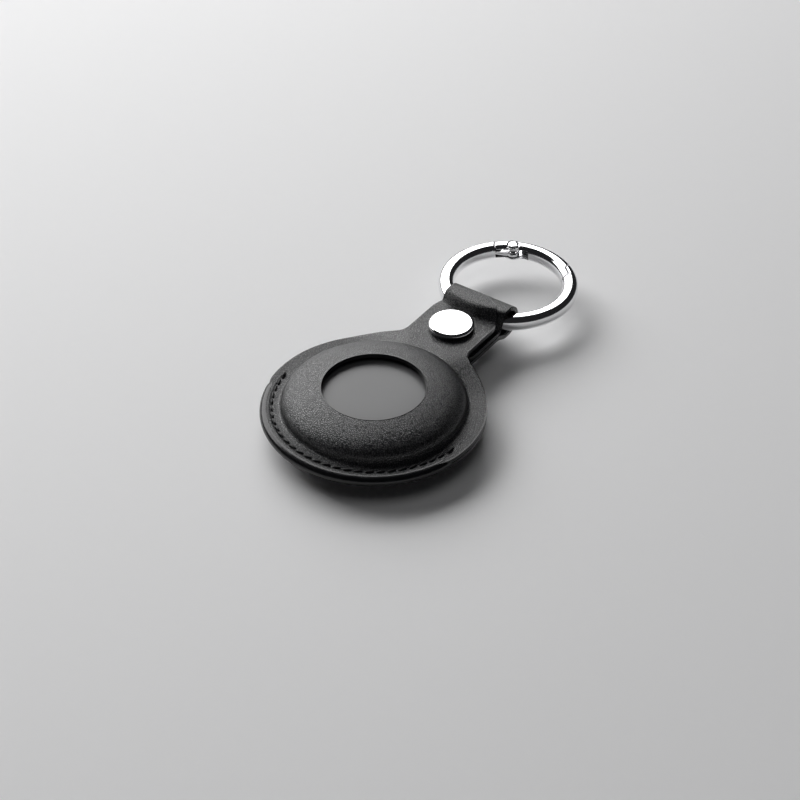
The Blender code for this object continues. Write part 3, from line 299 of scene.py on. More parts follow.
def leather_material(name, dark, light, roughness, marked):
    material, tree, shader, place = new_material(name, light, roughness)
    grain = add_group(tree, leather_grain, Vector=place)
    tree.links.new(mix_colour(tree, grain["Tone"], dark, light), shader.inputs["Base Color"])
    rough = math_node(tree, "MULTIPLY_ADD", grain["Height"], 0.10)
    rough.node.inputs[2].default_value = roughness - 0.05
    shader.inputs["IOR"].default_value = 1.65
    gloss = math_node(tree, "MULTIPLY_ADD", grain["Height"], 1.05)
    gloss.node.inputs[2].default_value = 0.1
    tree.links.new(gloss, shader.inputs["Specular IOR Level"])
    bump = tree_add(tree, "ShaderNodeBump", Height=grain["Height"], Strength=0.5, Distance=0.00008)
    if marked:
        row, flat = rim_marks(tree, place)
        rough = math_node(tree, "ADD", rough, math_node(tree, "MULTIPLY", flat, 0.14))
        marks = math_node(tree, "SUBTRACT", 1.0, row)
        deep = tree_add(tree, "ShaderNodeBump", Height=marks, Strength=1.0, Distance=0.00016)
        tree.links.new(bump.outputs[0], deep.inputs["Normal"])
        bump = deep
    tree.links.new(rough, shader.inputs["Roughness"])
    tree.links.new(bump.outputs[0], shader.inputs["Normal"])
    return material


hide_face = leather_material("hide_face", (0.006, 0.0063, 0.0072), (0.009, 0.0095, 0.011), 0.36, True)
hide_strap = leather_material("hide_strap", (0.006, 0.0063, 0.0072), (0.009, 0.0095, 0.011), 0.36, False)

# %% [markdown]
# The cut edges are sealed with thick black paint, glossier than the face, with faint waves
# where it was wiped on. The gloss mirrors the dark room in front, which is why the edge
# reads as one dark band.

# %% Edge paint
edge_paint, tree, shader, place = new_material("edge_paint", (0.006, 0.006, 0.007), 0.22)
waves = tree_add(tree, "ShaderNodeTexNoise", Vector=place, Scale=1100.0, Detail=3.0)
ripple = tree_add(tree, "ShaderNodeBump", Height=waves.outputs["Fac"], Strength=0.35, Distance=0.00008)
tree.links.new(ripple.outputs[0], shader.inputs["Normal"])
tree.links.new(
    mix_colour(tree, waves.outputs["Fac"], (0.004, 0.004, 0.005), (0.009, 0.009, 0.010)),
    shader.inputs["Base Color"],
)
print("edge paint ready:", edge_paint.name)

# %% [markdown]
# ## Metal wear
# Plated parts that knock about on keys carry hairline scratches and a faint haze of wiped
# fingermarks. Stretched noise gives the hairlines, a slow noise the haze. The group puts
# out a roughness offset and a height, and each metal sets how much of it shows.

# %% The wear group
metal_wear, given, wanted = new_group(
    "metal_wear",
    [("Vector", "NodeSocketVector", None), ("Base Roughness", "NodeSocketFloat", 0.06),
     ("Haze", "NodeSocketFloat", 0.06)],
    [("Roughness", "NodeSocketFloat"), ("Height", "NodeSocketFloat")],
)
stretch = tree_add(metal_wear, "ShaderNodeMapping", Vector=given["Vector"], Scale=(1.0, 14.0, 6.0))
stretch.inputs["Rotation"].default_value = (0.2, 0.4, 0.6)
hairlines = tree_add(metal_wear, "ShaderNodeTexNoise", Vector=stretch.outputs[0], Scale=700.0, Detail=4.0)
haze = tree_add(metal_wear, "ShaderNodeTexNoise", Vector=given["Vector"], Scale=220.0, Detail=3.0)
haze_mask = ramp(metal_wear, haze.outputs["Fac"], 0.45, 0.75)
haze_part = math_node(metal_wear, "MULTIPLY", haze_mask, given["Haze"])
metal_wear.links.new(math_node(metal_wear, "ADD", haze_part, given["Base Roughness"]), wanted["Roughness"])
metal_wear.links.new(ramp(metal_wear, hairlines.outputs["Fac"], 0.45, 0.6), wanted["Height"])


def metal_material(name, colour, roughness, haze_amount, scratch_depth):
    material, tree, shader, place = new_material(name, colour, roughness, 1.0)
    wear = add_group(tree, metal_wear, Vector=place, Base_Roughness=roughness, Haze=haze_amount)
    tree.links.new(wear["Roughness"], shader.inputs["Roughness"])
    bump = tree_add(tree, "ShaderNodeBump", Height=wear["Height"], Strength=0.3, Distance=scratch_depth)
    tree.links.new(bump.outputs[0], shader.inputs["Normal"])
    return material


chrome = metal_material("chrome_plate", (0.84, 0.84, 0.85), 0.05, 0.05, 0.000002)
steel = metal_material("nickel_steel", (0.60, 0.60, 0.60), 0.22, 0.10, 0.000004)
spring_steel = metal_material("spring_steel", (0.50, 0.50, 0.50), 0.25, 0.10, 0.000004)
gold_flash = metal_material("gold_flash", (0.80, 0.62, 0.30), 0.25, 0.10, 0.000004)
copper = metal_material("coil_copper", (0.70, 0.36, 0.20), 0.35, 0.10, 0.000006)
print("metals:", chrome.name, steel.name, spring_steel.name)

# %% [markdown]
# ## Plastics and thread
# The tag's shell is glossy white plastic with the faintest ripple, its frame a matte grey
# moulding with a spark texture, and its lid steel under a dark satin coat. The thread is
# waxed and black, and its fibres show as a fine roughness. One recipe serves them all: a
# noise of its own scale drives the bump and a slight drift of tone.

# %% Plastics and thread


def plastic_material(name, colour, roughness, texture_scale, depth):
    material, tree, shader, place = new_material(name, colour, roughness)
    grain = tree_add(tree, "ShaderNodeTexNoise", Vector=place, Scale=texture_scale, Detail=3.0)
    bump = tree_add(tree, "ShaderNodeBump", Height=grain.outputs["Fac"], Strength=0.4, Distance=depth)
    tree.links.new(bump.outputs[0], shader.inputs["Normal"])
    darker = tuple(c * 0.92 for c in colour)
    tree.links.new(mix_colour(tree, grain.outputs["Fac"], darker, colour), shader.inputs["Base Color"])
    return material


shell_white = plastic_material("shell_white", (0.78, 0.78, 0.77), 0.18, 300.0, 0.000004)
frame_grey = plastic_material("frame_grey", (0.18, 0.18, 0.19), 0.50, 5000.0, 0.00002)
board_green = plastic_material("board_green", (0.02, 0.13, 0.06), 0.35, 2500.0, 0.00001)
thread_black = plastic_material("thread_black", (0.010, 0.010, 0.011), 0.42, 9000.0, 0.00008)
lid_coat = plastic_material("lid_coat", (0.092, 0.093, 0.095), 0.40, 6000.0, 0.000004)
lid_coat.node_tree.nodes["Principled BSDF"].inputs["Specular IOR Level"].default_value = 0.8
print("plastics and thread ready")

# %% [markdown]
# ## The moulded front: one spun sheet
# The front is one piece of hide pressed over the tag. We draw half of its section as a line
# of points from the window's edge out to the rim, and spin it round the tag's axis. The
# number of steps is chosen so that two of the spun lines fall where the neck leaves the rim.

# %% Sizes of the round body, in mm
LEATHER = 0.9
RIM_RADIUS = 22.5
REAR_MID = 4.45
FRONT_MID = 5.55
NECK_FRONT_MID = 7.64
NECK_REAR_MID = 4.05
STRAP_END_MID = 5.15
WINDOW_RADIUS = 10.4
WINDOW_EDGE_MID = 10.12
WALL_RADIUS = 16.95
FRONT_WALL = 17.9
FRONT_FILLET = 1.4
NECK_HALF_WIDTH = 7.45
NECK_FILLET = 3.0
SPIN_STEPS = 134
NECK_COLUMNS = 18
NECK_LIFT = radians(50)
NECK_EDGE = NECK_COLUMNS / 2 * 2 * pi / SPIN_STEPS
SNAP_Y = 27.6
RING_OUT = 15.0


def mix(low, high, share):
    return low + (high - low) * share


def smooth(share):
    share = min(max(share, 0.0), 1.0)
    return share * share * (3 - 2 * share)


def shares(count):
    return [k / count for k in range(count + 1)]


def squircle(radius, height, power, angle):
    return radius * max(cos(angle), 0) ** (2 / power), height * max(sin(angle), 0) ** (2 / power)


def front_section():
    """(radius, height) of the front from the window's edge to the rim."""
    fillet, power = FRONT_FILLET, 2.1
    base = FRONT_MID + fillet
    edge = (WINDOW_RADIUS / FRONT_WALL) ** power
    height = (WINDOW_EDGE_MID - base) / (1 - edge) ** (1 / power)
    start = acos((WINDOW_RADIUS / FRONT_WALL) ** (power / 2))
    points = []
    for share in shares(14):
        r, z = squircle(FRONT_WALL, height, power, start * (1 - share))
        points.append((r, base + z))
    for share in shares(8)[1:]:
        a = pi / 2 * share
        points.append((FRONT_WALL + fillet * (1 - cos(a)), base - fillet * sin(a)))
    points += [(mix(points[-1][0], RIM_RADIUS, s), FRONT_MID) for s in shares(4)[1:]]
    return points


def spun_sheet(name, section):
    """Spins a section round the tag's axis."""
    c, s = sin(NECK_EDGE), cos(NECK_EDGE)
    obj = draw_line(name, [(r * c, r * s, z) for r, z in section])
    edit(obj)
    bpy.ops.mesh.select_all(action="SELECT")
    bpy.ops.mesh.spin(steps=SPIN_STEPS, angle=2 * pi, center=(0, 0, 0), axis=(0, 0, 1))
    bpy.ops.mesh.select_all(action="SELECT")
    bpy.ops.mesh.remove_doubles(threshold=0.001)
    object_mode()
    return obj


front = spun_sheet("leather_front", front_section())
print("front sheet vertices:", len(front.data.vertices))

# %% [markdown]
# The front does not sit flat where the neck begins: the snap holds the flap higher than the
# rim, so the hide runs off the mould at the flap's level. We move the spun vertices up
# inside the neck's angle, with a smooth step so that no edge shows. Along the sewn half the
# rim is drawn in by half a millimetre, which leaves room for the paint on its edge.

# %% Lift the front towards the neck


def neck_share(angle):
    full = NECK_EDGE * 0.52
    return 1 - smooth((abs(angle) - full) / (NECK_LIFT - full))


def lifted(radius, height, angle):
    rise = NECK_FRONT_MID - height
    soft = (rise + sqrt(rise * rise + 0.25)) / 2
    fade = smooth((radius - 13.56) / (FRONT_WALL - 13.56))
    settled = max(height, NECK_FRONT_MID)
    target = mix(height + soft, settled, smooth((radius - FRONT_WALL) / FRONT_FILLET))
    return mix(height, target, neck_share(angle) * fade)


def lowered(radius, height, angle):
    fade = smooth((radius - 18.15) / (RIM_RADIUS - 18.15))
    return height - (REAR_MID - NECK_REAR_MID) * neck_share(angle) * fade


def sewn_share(angle):
    """1 along the sewn half, where the rim makes room for the painted edge."""
    return smooth((abs(angle) - radians(103)) / radians(8))


def settle(obj, height_of):
    for vertex in obj.data.vertices:
        x, y, z = vertex.co
        radius, angle = hypot(x, y), atan2(x, y)
        pull = 1 - 0.55 * sewn_share(angle) * smooth((radius - 20.9) / 1.6) / max(radius, 1.0)
        vertex.co = (x * pull, y * pull, height_of(radius, z, angle))


settle(front, lifted)

# %% [markdown]
# ## The neck and the flap: extruded row by row
# The rim's edges across the neck are selected by their place and extruded once for each
# row. The first rows turn the round rim into the straight neck through a fillet, the next
# run flat under the cap, and the last climb over the strap's loop to a round end.

# %% Extrude the flap
FLAP_END = 38.52
FLAP_ROUND = 7.1
FLAP_RISE = 32.7
FLAP_SLOPE = 2.2
RING_Z = 5.92
LOOP_RADIUS = 3.0
LOOP_Y = 38.5167
FLAP_END_MID = RING_Z + LOOP_RADIUS + LEATHER + 0.2
NECK_FILLET_X = NECK_HALF_WIDTH + NECK_FILLET
NECK_START = sqrt((RIM_RADIUS + NECK_FILLET) ** 2 - NECK_FILLET_X ** 2)


def fillet_rows(rim_row, level, count=6):
    """The rows that turn the round rim into the straight neck."""
    width = rim_row[-1].x
    rows = []
    for share in shares(count)[1:]:
        angle = (pi / 2 - NECK_EDGE) * (1 - share)
        edge_x = NECK_FILLET_X - NECK_FILLET * cos(angle)
        edge_y = NECK_START - NECK_FILLET * sin(angle)
        middle = mix(RIM_RADIUS, NECK_START, share)
        row = []
        for place in rim_row:
            column = place.x / width
            y = mix(middle, edge_y, column * column)
            row.append(Vector((edge_x * column, y, mix(place.z, level, share))))
        rows.append(row)
    return rows


def strip_rows(rim_row, path):
    """Rows across the strip. Each has its y, its half width and a height for every (x, y)."""
    width = rim_row[-1].x
    rows = []
    for y, half, height_of in path:
        across = [half * place.x / width for place in rim_row]
        rows.append([Vector((x, y, height_of(x, y))) for x in across])
    return rows


def level(height):
    return lambda x, y: height


def ring_lag(x):
    """How much farther out the ring's near edge lies at x than on the middle line."""
    return RING_OUT - sqrt(RING_OUT ** 2 - x * x)


def slope(start, end, low, high):
    """A smooth rise that follows the curve of the ring under it."""
    return lambda x, y: mix(low, high, smooth((y - start - ring_lag(x)) / (end - start)))


def flap_path():
    start = FLAP_END - FLAP_ROUND
    height_of = slope(FLAP_RISE, FLAP_RISE + FLAP_SLOPE, NECK_FRONT_MID, FLAP_END_MID)
    path = [(mix(NECK_START, start, s), NECK_HALF_WIDTH, height_of) for s in shares(6)[1:-1]]
    for share in shares(30):
        angle = pi / 2 * share
        y = start + FLAP_ROUND * sin(angle)
        path.append((y, NECK_HALF_WIDTH - FLAP_ROUND * (1 - cos(angle)), height_of))
    return path


def grow(obj, make_rows):
    """Extrudes the rim's edges across the neck, one row at a time."""
    mesh = edit(obj, "EDGE")

    def on_neck(vertex):
        x, y = vertex.co.xy
        return hypot(x, y) > RIM_RADIUS - 0.01 and abs(atan2(x, y)) < NECK_EDGE + 0.001

    pick(mesh, mesh.edges, lambda edge: all(on_neck(vertex) for vertex in edge.verts))
    rim_row = sorted((v.co.copy() for v in mesh.verts if v.select), key=lambda place: place.x)
    rows = make_rows(rim_row)
    for row in rows:
        bpy.ops.mesh.extrude_edges_move()
        mesh = bmesh.from_edit_mesh(obj.data)
        chosen = sorted((v for v in mesh.verts if v.select), key=lambda v: v.co.x)
        for vertex, place in zip(chosen, row):
            vertex.co = place
        bmesh.update_edit_mesh(obj.data)
    object_mode()
    print(obj.name, "rows grown:", len(rows), "columns:", len(rim_row))


grow(front, lambda rim: fillet_rows(rim, NECK_FRONT_MID) + strip_rows(rim, flap_path()))

# %% [markdown]
# ## From sheet to hide
# Solidify gives the sheet its 0.9 mm and puts the edge paint on the cut sides, a small
# bevel rounds the cut corners, and one subdivision takes the last facets out of the mould.

# %% Thickness and rounded edges


def to_hide(obj, face_material):
    obj.data.materials.append(face_material)
    obj.data.materials.append(edge_paint)
    modify(obj, "SOLIDIFY", thickness=LEATHER, offset=0.0, use_even_offset=True, material_offset_rim=1)
    edit(obj)
    bpy.ops.mesh.select_all(action="SELECT")
    bpy.ops.mesh.normals_make_consistent(inside=False)
    object_mode()
    modify(obj, "BEVEL", width=0.2, segments=2, limit_method="ANGLE", angle_limit=radians(55), material=1)
    modify(obj, "SUBSURF", levels=1, render_levels=1)
    return obj


to_hide(front, hide_face)
finish_piece(front, None, ("front_panel", "front_flap"), angle=60)
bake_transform(front)

# %% [markdown]
# ## The back and its strap
# The back is made the same way: a spun section with a flat underside, then a strap that
# leaves the rim, dips, runs round the ring and comes back over itself to the snap.

# %% Spin the back and extrude the strap


def rear_section():
    flat, power, fillet = 10.5, 2.3, 1.2
    floor, top = LEATHER / 2, REAR_MID - 1.2
    points = [(flat * s, floor) for s in shares(5)[:-1]]
    for share in shares(14):
        r, z = squircle(WALL_RADIUS - flat, top - floor, power, pi / 2 * (1 - share))
        points.append((flat + r, top - z))
    for share in shares(6)[1:]:
        a = pi / 2 * share
        points.append((WALL_RADIUS + fillet * (1 - cos(a)), top + fillet * sin(a)))
    points += [(mix(points[-1][0], RIM_RADIUS, s), REAR_MID) for s in shares(4)[1:]]
    return points


SLOPE_START = 32.62
SLOPE_END = 35.62
STRAP_HALF = 7.4
STRAP_END = 23.6


def strap_path():
    low_start = SLOPE_START - 0.4
    slope_out = SLOPE_END + ring_lag(STRAP_HALF)
    falling = slope(low_start, SLOPE_END, NECK_REAR_MID, RING_Z - LOOP_RADIUS)
    rising = slope(SLOPE_START, SLOPE_END, STRAP_END_MID, RING_Z + LOOP_RADIUS)
    path = [(mix(NECK_START, low_start, s), STRAP_HALF, falling) for s in shares(5)[1:-1]]
    path += [(mix(low_start, slope_out, s), STRAP_HALF, falling) for s in shares(16)]
    for share in shares(24):
        angle = -pi / 2 + pi * share
        y, z = LOOP_Y + LOOP_RADIUS * cos(angle), RING_Z + LOOP_RADIUS * sin(angle)
        path.append((y, STRAP_HALF, level(z)))
    path += [(mix(slope_out, SLOPE_START, s), STRAP_HALF, rising) for s in shares(16)]
    path += [(mix(SLOPE_START, STRAP_END + 1.5, s), STRAP_HALF, rising) for s in shares(5)[1:-1]]
    for share in shares(6):
        angle = pi / 2 * share
        y = STRAP_END + 1.5 * (1 - sin(angle))
        path.append((y, STRAP_HALF - 1.5 * (1 - cos(angle)), level(STRAP_END_MID)))
    return path


back = spun_sheet("leather_back", rear_section())
settle(back, lowered)
grow(back, lambda rim: fillet_rows(rim, NECK_REAR_MID) + strip_rows(rim, strap_path()))
to_hide(back, hide_strap)
finish_piece(back, "holder", ("rear_panel",), angle=60)

# %% [markdown]
# ## The painted edge
# Where front and back are sewn together their cut edges are sanded flush and painted as
# one, so that no seam shows. A small closed outline, rounded over both corners, is spun
# along the sewn half, and its ends sink into the leather so that the bead runs out softly.

# %% Spin the bead of paint


def paint_bead(name, start, end, run_out):
    middle = (REAR_MID + FRONT_MID) / 2
    half = [(21.5, 1.01), (21.85, 1.02), (22.15, 0.95), (22.42, 0.79), (22.62, 0.55), (22.74, 0.28)]
    outline = [(r, middle - z) for r, z in half] + [(22.78, middle)]
    outline += [(r, middle + z) for r, z in reversed(half)]
    obj = draw_line(name, [(r * cos(start), r * sin(start), z) for r, z in outline], closed=True)
    edit(obj)
    bpy.ops.mesh.select_all(action="SELECT")
    bpy.ops.mesh.spin(steps=100, angle=start - end, center=(0, 0, 0), axis=(0, 0, 1))
    mesh = edit(obj, "EDGE")
    pick(mesh, mesh.edges, lambda e: e.is_boundary)
    bpy.ops.mesh.edge_face_add()
    bpy.ops.mesh.select_all(action="SELECT")
    bpy.ops.mesh.normals_make_consistent(inside=False)
    object_mode()
    for vertex in obj.data.vertices:
        x, y, z = vertex.co
        angle = atan2(y, x) % (2 * pi)
        sunk = 1 - smooth(min(angle - start, end - angle) / run_out)
        pull = 1 - 0.9 * sunk / hypot(x, y)
        vertex.co = (x * pull, y * pull, mix(z, middle, 0.2 * sunk))
    return obj


bead = paint_bead("edge_bead", radians(182), radians(358), radians(18))
finish_piece(bead, "holder", (), (edge_paint,), angle=60)

# %% [markdown]
# ## Sewing
# A thick black thread joins front and back round the lower half. One stitch is a short tube
# that dips into its two holes. It is modelled once as a curve, made a mesh, and copied
# along the row, above and below the rim. A double stitch locks each end.

# %% One stitch, then the row


def stitch_mesh(length, radius, rise, depth):
    """A stitch along +X, its holes at the ends, lying on Z = 0."""
    curve = bpy.data.curves.new("stitch", "CURVE")
    curve.dimensions = "3D"
    curve.bevel_depth = radius
    curve.bevel_resolution = 2
    curve.use_fill_caps = True
    spline = curve.splines.new("POLY")
    places = []
    for share in shares(10):
        x = (share - 0.5) * length
        bow = max(0.0, 1 - abs(2 * share - 1) ** 4)
        places.append((x, 0, -depth + (rise + depth) * bow))
    spline.points.add(len(places) - 1)
    for point, place in zip(spline.points, places):
        point.co = (*place, 1)
    holder = bpy.data.objects.new("stitch", curve)
    bpy.context.scene.collection.objects.link(holder)
    only(holder)
    bpy.ops.object.convert(target="MESH")
    mesh = bpy.context.object.data.copy()
    bpy.data.objects.remove(bpy.context.object, do_unlink=True)
    return mesh


def stitch_row(name, height, facing):
    pitch = (STITCH_END - STITCH_START) / STITCH_COUNT
    length = pitch * STITCH_RADIUS * 0.86
    single = stitch_mesh(length, 0.24, 0.12, 0.40)
    double = stitch_mesh(length * 0.9, 0.30, 0.24, 0.40)
    copies = [(single, STITCH_START + pitch * (k + 0.5), 0.0) for k in range(STITCH_COUNT)]
    copies += [(double, STITCH_START + pitch * 0.4, 0.12), (double, STITCH_END - pitch * 0.4, 0.12)]
    made = []
    for mesh, angle, outward in copies:
        obj = bpy.data.objects.new(name, mesh.copy())
        bpy.context.scene.collection.objects.link(obj)
        reach = STITCH_RADIUS + outward
        turn = Matrix.Rotation(angle + pi / 2 + radians(9), 4, "Z")
        flip = Matrix.Scale(facing, 4, (0, 0, 1))
        place = Matrix.Translation((reach * cos(angle), reach * sin(angle), height))
        obj.data.transform(place @ turn @ flip)
        if facing < 0:
            obj.data.flip_normals()
        made.append(obj)
    only(made[0])
    for obj in made:
        obj.select_set(True)
    bpy.ops.object.join()
    return named(name)


top_thread = stitch_row("thread_top", FRONT_MID + LEATHER / 2, 1)
finish_piece(top_thread, "holder", (), (thread_black,), angle=60)
low_thread = stitch_row("thread_underside", REAR_MID - LEATHER / 2, -1)
finish_piece(low_thread, "holder", (), (thread_black,), angle=60)

# %% [markdown]
# ## The snap
# The cap is a low chrome disc. A cylinder is the start: its rims are bevelled into the
# rolled edge, the face is inset and raised a hair so that it is not dead flat, and the
# underside gets the post that goes through the flap.

# %% Cap and rivet


def disc(name, radius, low, high, rolled, crown):
    bpy.ops.object.select_all(action="DESELECT")
    place = (0, SNAP_Y, (low + high) / 2)
    bpy.ops.mesh.primitive_cylinder_add(vertices=96, radius=radius, depth=high - low, location=place)
    obj = named(name)
    bpy.ops.object.transform_apply(location=True, rotation=True, scale=True)
    mesh = edit(obj, "EDGE")
    pick(mesh, mesh.edges, lambda e: abs(e.verts[0].co.z - e.verts[1].co.z) < 0.001)
    bpy.ops.mesh.bevel(offset=rolled, segments=8, profile=0.5, affect="EDGES")
    mesh = edit(obj, "FACE")
    pick(mesh, mesh.faces, lambda f: abs(f.normal.z) > 0.99 and f.calc_area() > 1)
    bpy.ops.mesh.inset(thickness=radius * 0.3)
    bpy.ops.mesh.inset(thickness=radius * 0.3)
    mesh = bmesh.from_edit_mesh(obj.data)
    for vertex in mesh.verts:
        if vertex.select:
            vertex.co.z += crown if vertex.co.z > (low + high) / 2 else -crown
    bmesh.update_edit_mesh(obj.data)
    object_mode()
    return obj


def box_mm(node):
    low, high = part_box(node)
    return [v / MM for v in low], [v / MM for v in high]


def add_post(obj, radius, low, high):
    bpy.ops.object.select_all(action="DESELECT")
    place = (0, SNAP_Y, (low + high) / 2)
    bpy.ops.mesh.primitive_cylinder_add(vertices=48, radius=radius, depth=high - low, location=place)
    post = bpy.context.object
    bpy.ops.object.transform_apply(location=True, rotation=True, scale=True)
    modify(post, "BEVEL", width=0.05, segments=2)
    return cut(obj, post, "UNION")


cap_low, cap_high = box_mm("snap_cap")
cap = disc("snap_cap_polished", 4.8, cap_high[2] - 1.2, cap_high[2], 0.58, 0.02)
add_post(cap, 0.85, cap_low[2], cap_high[2] - 0.6)
finish_piece(cap, "flap", ("snap_cap",), (chrome,), angle=35)

rivet_low, rivet_high = box_mm("snap_rivet")
rivet = disc("snap_rivet_polished", 4.2, rivet_low[2], rivet_low[2] + 0.6, 0.25, 0.02)
add_post(rivet, 0.85, rivet_low[2] + 0.3, rivet_high[2])
finish_piece(rivet, "holder", ("snap_rivet",), (chrome,), angle=35)

# %% [markdown]
# ## Parts that keep their solid shape
# The socket, the stud, the snap's spring and the tag's inside are already right as solids.
# Their triangles are loose, so each gets a copy that is merged, smoothed and finished in its
# own material, and the copy stands for the solid.

# %% Smooth copies


def smooth_copy(node, body, material, angle=35):
    obj = bpy.data.objects.new(node + "_finished", nodes[node].data.copy())
    bpy.context.scene.collection.objects.link(obj)
    obj.data.materials.clear()
    edit(obj)
    bpy.ops.mesh.select_all(action="SELECT")
    bpy.ops.mesh.remove_doubles(threshold=0.0000005)
    object_mode()
    modify(obj, "BEVEL", width=0.00003, segments=1, limit_method="ANGLE", angle_limit=radians(50))
    return finish_piece(obj, body, (node,), (material,), angle=angle, scale=1.0)


for node, body, slot, material in (
    ("snap_socket", "flap", "steel", steel),
    ("snap_spring", "flap", "spring_wire", spring_steel),
    ("snap_stud", "holder", "chrome", chrome),
    ("tag_frame", "tag", "frame_plastic", frame_grey),
    ("coin_cell", "tag", "steel", steel),
    ("circuit_board", "tag", "board", board_green),
    ("speaker_magnet", "tag", "steel", steel),
    ("voice_coil", "tag", "coil_copper", copper),
    ("contact_negative", "tag", "contact_metal", gold_flash),
    ("contact_positive_1", "tag", "contact_metal", gold_flash),
    ("contact_positive_2", "tag", "contact_metal", gold_flash),
):
    smooth_copy(node, body, material)

# %% [markdown]
# ## The tag's shell and lid
# Both are turned shapes. Half a section is spun once more, this time with many steps,
# because the lid is the calm grey disc that fills the window and any facet would show.

# %% Spin the shell and the lid
TAG_RADIUS, TAG_HALF, TAG_MID, TAG_POWER = 15.95, 4.0, 5.1, 4.5
LID_RADIUS = 13.15


def tag_height(radius, half=TAG_HALF, reach=TAG_RADIUS):
    return half * (1 - (radius / reach) ** TAG_POWER) ** (1 / TAG_POWER)


def turned(name, section, steps=128):
    """Spins a closed section of (radius, height) points round the tag's axis."""
    on_axis = section[0][0] == 0 and section[-1][0] == 0
    obj = draw_line(name, [(r, 0, z) for r, z in section], closed=not on_axis)
    edit(obj)
    bpy.ops.mesh.select_all(action="SELECT")
    bpy.ops.mesh.spin(steps=steps, angle=2 * pi, center=(0, 0, 0), axis=(0, 0, 1))
    bpy.ops.mesh.select_all(action="SELECT")
    bpy.ops.mesh.remove_doubles(threshold=0.0005)
    bpy.ops.mesh.normals_make_consistent(inside=False)
    object_mode()
    return obj


def curve_points(radius, half, start, end, count):
    points = []
    for share in shares(count):
        angle = mix(start, end, share)
        r, z = squircle(radius, half, TAG_POWER, abs(angle))
        points.append((r, TAG_MID + (z if angle > 0 else -z)))
    return points


opening = LID_RADIUS + 0.15
lip_low = TAG_MID + tag_height(opening) - 1.5
shell_end = acos((opening / TAG_RADIUS) ** (TAG_POWER / 2))
inner_end = asin(min((lip_low - TAG_MID) / (TAG_HALF - 1), 1.0) ** (TAG_POWER / 2))
shell_section = curve_points(TAG_RADIUS, TAG_HALF, -pi / 2, shell_end, 40)
shell_section.append((opening, lip_low))
shell_section += curve_points(TAG_RADIUS - 1, TAG_HALF - 1, inner_end, -pi / 2, 24)
shell = turned("shell_polished", shell_section)
finish_piece(shell, "tag", ("tag_shell",), (shell_white,), angle=40)

skirt_low = TAG_MID + tag_height(LID_RADIUS) - 1.3
inner = LID_RADIUS - 0.45
lid_section = [(LID_RADIUS * s, TAG_MID + tag_height(LID_RADIUS * s)) for s in shares(20)]
lid_section += [(LID_RADIUS, skirt_low), (inner, skirt_low)]
lid_section += [(inner * (1 - s), TAG_MID + tag_height(inner * (1 - s)) - 0.45) for s in shares(20)]
lid = turned("lid_satin", lid_section)
for k in range(3):
    bpy.ops.object.select_all(action="DESELECT")
    place = (inner - 0.3, 0, skirt_low + 0.175)
    bpy.ops.mesh.primitive_cube_add(size=1, location=place, scale=(1.0, 3.4, 0.35))
    lug = bpy.context.object
    bpy.ops.object.transform_apply(location=True, rotation=False, scale=True)
    lug.rotation_euler = (0, 0, 2 * pi * k / 3)
    bpy.ops.object.transform_apply(location=True, rotation=True, scale=True)
    cut(lid, lug, "UNION")
finish_piece(lid, "lid", ("tag_lid",), (lid_coat,), angle=35)

# %% [markdown]
# ## The spring gate ring
# The ring is a rounded bar bent to a circle. A circle primitive is squared off a little to
# make the bar's section, and is spun once round. It is made twice, and the two whole rings
# are then cut into the fixed part and the gate.

# %% The whole ring
RING_WIDTH, RING_HEIGHT, RING_POWER, RING_Y = 3.4, 3.2, 2.9, 49.7
RING_IN = RING_OUT - RING_WIDTH
RING_MID = RING_OUT - RING_WIDTH / 2


def whole_ring(name):
    bpy.ops.object.select_all(action="DESELECT")
    bpy.ops.mesh.primitive_circle_add(vertices=40, radius=1.0, fill_type="NOTHING", rotation=(pi / 2, 0, 0))
    ring = named(name)
    bpy.ops.object.transform_apply(location=True, rotation=True, scale=True)
    for vertex in ring.data.vertices:
        x, z = vertex.co.x, vertex.co.z
        side = abs(x) ** (2 / RING_POWER) * (1 if x > 0 else -1)
        up = abs(z) ** (2 / RING_POWER) * (1 if z > 0 else -1)
        vertex.co = (RING_MID + RING_WIDTH / 2 * side, RING_Y, RING_Z + RING_HEIGHT / 2 * up)
    edit(ring)
    bpy.ops.mesh.select_all(action="SELECT")
    bpy.ops.mesh.spin(steps=180, angle=2 * pi, center=(0, RING_Y, 0), axis=(0, 0, 1))
    bpy.ops.mesh.select_all(action="SELECT")
    bpy.ops.mesh.remove_doubles(threshold=0.001)
    bpy.ops.mesh.normals_make_consistent(inside=False)
    object_mode()
    return ring


print("ring, inside and outside radius in mm:", round(RING_IN, 2), RING_OUT)

# %% [markdown]
# The seams are arcs about the hinge pin, as on the real ring, because the gate could not
# turn past any other line. The nose is stepped: its outer half ends before its inner half.
# One outline serves for both parts, with a gap for the fixed part, and small helpers place
# round and flat cutters by their distance from the pin.

# %% Outlines of the seams
PIN_ANGLE = radians(117.5)
PIN = Vector((cos(PIN_ANGLE), sin(PIN_ANGLE))) * (RING_MID - 0.35)
OUTWARD = PIN.normalized()
TO_NOSE = Vector((sin(PIN_ANGLE), -cos(PIN_ANGLE)))
NOSE = Vector((cos(radians(49.5)), sin(radians(49.5)))) * RING_MID
NOSE_REACH = (NOSE - PIN).length
TAIL = 4.0
SEAM = 0.2


def round_pin(distance, reach, side):
    share = (PIN.length ** 2 + distance ** 2 - reach ** 2) / (2 * PIN.length * distance)
    direction = PIN_ANGLE + pi + side * acos(max(min(share, 1.0), -1.0))
    return PIN.x + distance * cos(direction), PIN.y + distance * sin(direction)


def seam_arc(distance, first, last, side, count=8):
    return [round_pin(distance, mix(first, last, s), side) for s in shares(count)]


